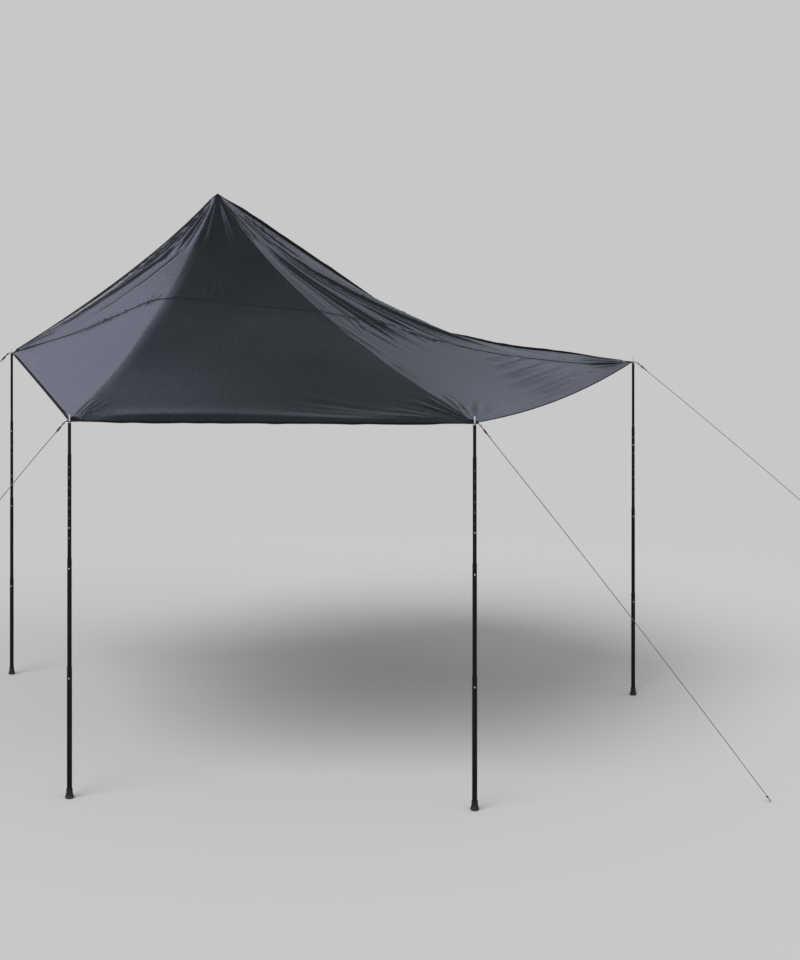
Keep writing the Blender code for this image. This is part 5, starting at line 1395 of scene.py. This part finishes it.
patchPlan = {
    "thickness": 0.0040, "flat": 0.0125, "nose": 0.0180, "bore": 0.0056, "around": 96, "rings": 7,
    "rimBulge": 0.0008, "thinning": 0.25, "levelRings": 3,
    "loopThickness": 0.0011, "loopStart": 0.004, "loopGap": 0.00008, "eyeTurn": 0.80, "eyeLead": 1.25, "fold": 0.0025,
    "stitchPitch": 0.0030, "stitchLength": 0.0022, "stitchWidth": 0.0008,
    "stitchInsets": (0.004, 0.009), "stitchClear": 0.0004, "stitchHeight": 0.80,
}


def patchOutline(centre, arc, plan):
    # In plan the patch runs from the cloth's cut edge, by two straight sides, to a round nose.
    # Its radius and its rise are given for evenly spaced angles about the eyelet.
    rim = arc - centre
    angle = np.unwrap(np.arctan2(rim[:, 1], rim[:, 0]))
    if angle[-1] < angle[0]:
        angle, rim = angle[::-1], rim[::-1]
    gap = 2 * math.pi - (angle[-1] - angle[0])
    away = np.linspace(0.0, gap, 60)[1:-1]
    near = away < gap / 2
    end = np.where(near[:, None], rim[-1], rim[0])
    reach = np.hypot(end[:, 0], end[:, 1])
    swing = np.where(near, away, gap - away)
    tangent = np.arccos(np.minimum(1.0, plan["nose"] / reach))
    radius = plan["nose"] / np.cos(np.maximum(tangent - swing, 0.0))
    rise = end[:, 2] * (radius - plan["nose"]) / (reach - plan["nose"])
    allAngle = np.concatenate([angle, angle[-1] + away, [angle[0] + 2 * math.pi]])
    allRadius = np.concatenate([np.hypot(rim[:, 0], rim[:, 1]), radius, [math.hypot(rim[0, 0], rim[0, 1])]])
    allRise = np.concatenate([rim[:, 2], rise, [rim[0, 2]]])
    even = angle[0] + 2 * math.pi * np.arange(plan["around"]) / plan["around"]
    return even, np.interp(even, allAngle, allRadius), np.interp(even, allAngle, allRise)


def loopStrip(spec, plan):
    # The loop's run in the upright plane of its line: out of the patch, down along the line,
    # round the eye and back again under itself
    slope, gap = math.radians(spec["slope"]), plan["loopThickness"] / 2 + plan["loopGap"]
    eye, bend = linePlan["loopEye"] / 2, linePlan["loopBend"]
    wrap = eye + plan["loopThickness"] / 2
    down = np.array([math.cos(slope), -math.sin(slope)])
    over = np.array([math.sin(slope), math.cos(slope)])
    middle = np.array([bend, 0.0]) + down * (linePlan["loopDrop"] + eye)
    turn = np.linspace(plan["eyeTurn"], -plan["eyeTurn"], 25)[:, None] * math.pi
    around = middle + wrap * (np.cos(turn) * down + np.sin(turn) * over)
    lead, shift = middle - down * wrap * plan["eyeLead"], math.tan(slope / 2) * gap
    return rounded(np.vstack([(plan["loopStart"], gap), (bend + shift, gap), lead + over * gap, around,
                              lead - over * gap, (bend - shift, -gap), (plan["loopStart"], -gap)]), plan["fold"], 4)


def makePatch(name, spec, arc, plan):
    # Two layers of webbing, pressed flat round the eyelet and thinner towards their rim
    centre = spec["point"]
    angle, radius, rise = patchOutline(centre, arc, plan)
    away = np.stack([np.cos(angle), np.sin(angle), 0.0 * angle], axis=-1)
    inner, flat, half = plan["bore"], plan["flat"], plan["thickness"] / 2
    # From the bore to the flat's rim the patch is level, and past it climbs to the cloth
    share = np.linspace(0.0, 1.0, plan["rings"])[:, None]
    last = plan["levelRings"] - 1
    level = inner + (flat - inner) * share[:last + 1] / share[last] + 0.0 * radius
    ring = np.vstack([level, flat + (radius - flat) * (share[last + 1:] - share[last]) / (1 - share[last])])
    up = np.array([0.0, 0.0, 1.0])

    def climbed(reach):
        # How far the rise has come at a distance from the eyelet
        return smoothStep((reach - flat) / np.maximum(radius - flat, 1e-6))

    flatway = ring[..., None] * away + (rise * climbed(ring))[..., None] * up
    thick = (half * (1.0 - plan["thinning"] * climbed(ring)))[..., None] * up
    bulge = (radius + plan["rimBulge"])[:, None] * away + rise[:, None] * up
    grid = centre + np.concatenate([flatway + thick, bulge[None], (flatway - thick)[::-1]])
    faces = gridFaces(*grid.shape[:2], wrapRows=True, wrapColumns=True)
    patch = shellOf(grid, faces, (), grid[..., :2].reshape(-1, 2)[faces])
    strip = loopStrip(spec, plan)
    path = centre + strip[:, :1] * spec["out"] + strip[:, 1:] * up
    wide, thin, corner = linePlan["loopWidth"] / 2, plan["loopThickness"] / 2, plan["loopThickness"] * 0.35
    edge = np.array([(thin - corner, wide), (thin, wide - corner), (thin, corner - wide), (thin - corner, -wide)])
    section = np.vstack([(edge * (-1, 1))[::-1], edge])
    loop = tubeShell(carried(path, section, spec["across"]), lengthsOf(path), 2 * linePlan["loopWidth"])
    makePiece(name + "CornerPatch", [patch, loop], webbingFinish, [spec["node"] + "_corner_patch"], 45.0)
    # Two rows of stitches run round inside the rim, above and below
    rows = []
    for inset in plan["stitchInsets"]:
        reach = np.maximum(radius - inset, flat + plan["stitchClear"])
        path = centre + reach[:, None] * away + (rise * climbed(reach))[:, None] * up
        path = np.vstack([path, path[:1]])
        for flip in (1, -1):
            rows.append(stitchShell(path, np.tile(up * flip, (len(path), 1)), half * plan["stitchHeight"], plan))
    makePiece(name + "PatchStitches", rows, threadFinish, sharpAngle=80.0)


arcs = {
    "rearLeft": cloth[:, 0], "frontLeft": cloth[-1, sideEnd:frontStart + 1],
    "frontRight": cloth[-1, frontEnd:rightStart + 1], "rearRight": cloth[:, -1],
}
for name, spec in corners.items():
    makePatch(name, spec, arcs[name], patchPlan)


peakPlan = {"shares": (0.06, 0.3, 0.55, 0.8, 1.03), "halfThickness": 0.0012, "tipExtra": 0.0003}


def makePeak(tip, plan):
    # The peak's patch: straight rays from its tip to the cloth, both sides, and a rounded tip
    fan, normals = cloth[0, sideEnd:rightStart + 1], clothNormals[0, sideEnd:rightStart + 1]
    share = np.array(plan["shares"])[:, None, None]
    rays = tip + (fan - tip) * share
    half = plan["halfThickness"] + plan["tipExtra"] * (1 - share)
    grid = np.concatenate([rays + normals * half, (rays - normals * half)[::-1]])
    rows, wide = grid.shape[:2]
    faces = gridFaces(rows, wide, wrapRows=True)
    caps = ((np.arange(rows) * wide)[::-1], np.arange(rows) * wide + wide - 1)
    cap = shellOf(grid, faces, caps, grid[..., :2].reshape(-1, 2)[faces])
    makePiece("peakCap", [cap], webbingFinish, ["peak_patch"], 60.0)


makePeak(np.array(canopyPlan["peak"]), peakPlan)


weltPlan = {"radius": 0.0035, "standOff": 0.0008, "spacing": 0.006, "sides": 20, "endRadii": (0.0022, 0.0032)}


def makeWelt(plan):
    # The round cord sewn into the edge that slides into the tent's rail
    edge = cloth[0, tentPart]
    line = unit(edge[-1] - edge[0])
    inward = cloth[hemRows, (rightStart + tentEnd) // 2] - edge[len(edge) // 2]
    inward = unit(inward - line * (inward @ line))
    path = evenly(edge[[0, -1]] - inward * (plan["radius"] + plan["standOff"]), plan["spacing"])
    radius = np.full(len(path), plan["radius"])
    for k, size in enumerate(plan["endRadii"]):
        radius[[k, -1 - k]] = size
    grid = carried(path, radius[:, None, None] * circle(plan["sides"]), inward)
    cord = tubeShell(grid, lengthsOf(path), 2 * math.pi * plan["radius"])
    makePiece("tentWelt", [cord], webbingFinish, ["tent_welt"])


makeWelt(weltPlan)
print("patches and welt made")

# Floor, lamps and world

stagePlan = {
    "background": "#c8c8c8", "floorSize": 60.0, "floorDrop": 0.0005, "fadeStart": 5.0, "fadeEnd": 10.0,
    "evenLight": 0.40,
    # How bright mirrors see the world, as shares of the background: by height, from level to
    # straight up, and by side, from left to right. Soft boxes stand low on both sides.
    "mirroredAside": "#bdc0d8", "mirroredMiddle": "#bcc8ca", "mirrorGain": 1.4, "mirroredFront": 1.0,
    "frontFrom": 0.1, "frontTo": -0.3,  # how far forwards a way points, along +Y
    "byHeight": [(0.0, 1.0), (0.16, 1.0), (0.27, 0.44), (0.46, 1.0), (0.59, 0.06), (1.0, 0.04)],
    "bySide": [(0.0, 1.0), (0.34, 1.0), (0.46, 0.46), (0.53, 0.42), (0.575, 0.66), (0.62, 1.0), (1.0, 1.0)],
    # Each lamp: the way that its light comes from, its strength, and its width in degrees
    "lampAway": 6.0,
    "lamps": {"key": ((-0.45, -0.65, 1.0), 1.98, 40.0), "fill": ((0.8, -0.9, 0.9), 0.66, 60.0)},
}


def makeStage(plan):
    # A pale matt floor that shows the object's shadow near it and fades into the background
    size, low = plan["floorSize"] / 2, -plan["floorDrop"]
    mesh = bpy.data.meshes.new("floor")
    square = [(-size, -size, low), (size, -size, low), (size, size, low), (-size, size, low)]
    mesh.from_pydata(square, [], [(0, 1, 2, 3)])
    floor = bpy.data.objects.new("floor", mesh)
    bpy.context.scene.collection.objects.link(floor)
    material = bpy.data.materials.new("paleFloor")
    material.use_nodes = True
    tree = material.node_tree
    tree.nodes.remove(tree.nodes["Principled BSDF"])
    place = addNode(tree, "TexCoord").outputs["Object"]
    away = addNode(tree, "VectorMath", {0: place}, operation="LENGTH").outputs["Value"]
    share = addNode(tree, "MapRange", {0: away, 1: plan["fadeStart"], 2: plan["fadeEnd"]},
                    interpolation_type="SMOOTHSTEP").outputs[0]
    matt = addNode(tree, "BsdfDiffuse", {"Color": colour(plan["background"])}).outputs[0]
    clear = addNode(tree, "BsdfTransparent").outputs[0]
    mixed = addNode(tree, "MixShader", {0: share, 1: matt, 2: clear}).outputs[0]
    tree.links.new(mixed, tree.nodes["Material Output"].inputs["Surface"])
    mesh.materials.append(material)


def makeWorld(plan):
    # The camera sees the plain background. Mirrors see it dimmed by height and by side, with a
    # dark ceiling, and even in front. Everything else gets a weaker even light.
    world = bpy.data.worlds.new("softWorld")
    world.use_nodes = True
    tree = world.node_tree
    path = addNode(tree, "LightPath")
    way = addNode(tree, "TexCoord").outputs["Generated"]
    axes = addNode(tree, "SeparateXYZ", {0: way})
    side = addNode(tree, "Math", {0: axes.outputs[0], 1: 0.5, 2: 0.5}, operation="MULTIPLY_ADD").outputs[0]
    shares = []
    for value, stops in ((axes.outputs[2], plan["byHeight"]), (side, plan["bySide"])):
        ramp = addNode(tree, "ValToRGB", {0: value})
        ramp.color_ramp.interpolation = "EASE"
        for place, share in stops[1:-1]:
            ramp.color_ramp.elements.new(place)
        for stop, (place, share) in zip(ramp.color_ramp.elements, stops):
            stop.position, stop.color = place, (share, share, share, 1.0)
        shares.append(ramp.outputs[0])
    both = addNode(tree, "Math", {0: shares[0], 1: shares[1]}, operation="MULTIPLY").outputs[0]
    dim = addNode(tree, "Math", {0: both, 1: plan["mirrorGain"]}, operation="MULTIPLY").outputs[0]
    front = addNode(tree, "MapRange", {0: axes.outputs[1], 1: plan["frontFrom"], 2: plan["frontTo"], 3: 0.0, 4: 1.0},
                    interpolation_type="SMOOTHSTEP").outputs[0]
    dim = addNode(tree, "Mix", {0: front, 2: dim, 3: plan["mirroredFront"]}).outputs[0]
    tint = addNode(tree, "Mix", {0: shares[1], 6: colour(plan["mirroredMiddle"]), 7: colour(plan["mirroredAside"])},
                   data_type="RGBA").outputs[2]
    seen, mirrored, even = (
        addNode(tree, "Background", {"Color": shade, "Strength": strength}).outputs[0] for shade, strength in
        ((colour(plan["background"]), 1.0), (tint, dim), ((1.0, 1.0, 1.0, 1.0), plan["evenLight"])))
    glossy = addNode(tree, "Math", {0: path.outputs["Is Glossy Ray"], 1: path.outputs["Is Transmission Ray"]},
                     operation="MAXIMUM").outputs[0]
    lit = addNode(tree, "MixShader", {0: glossy, 1: even, 2: mirrored}).outputs[0]
    mixed = addNode(tree, "MixShader", {0: path.outputs["Is Camera Ray"], 1: lit, 2: seen}).outputs[0]
    tree.links.new(mixed, tree.nodes["World Output"].inputs["Surface"])
    bpy.context.scene.world = world


def makeLamps(plan):
    # Wide suns, each turned so that its light comes from its own way
    for name, (way, strength, width) in plan["lamps"].items():
        data = bpy.data.lights.new(name, "SUN")
        data.energy, data.angle = strength, math.radians(width)
        lamp = bpy.data.objects.new(name, data)
        lamp.location = Vector(way) * plan["lampAway"]
        lamp.rotation_euler = Vector(way).to_track_quat("Z", "Y").to_euler()
        bpy.context.scene.collection.objects.link(lamp)


makeStage(stagePlan)
makeWorld(stagePlan)
makeLamps(stagePlan)
bpy.context.scene.view_settings.view_transform = "Standard"
print("stage set")

bpy.context.view_layer.update()
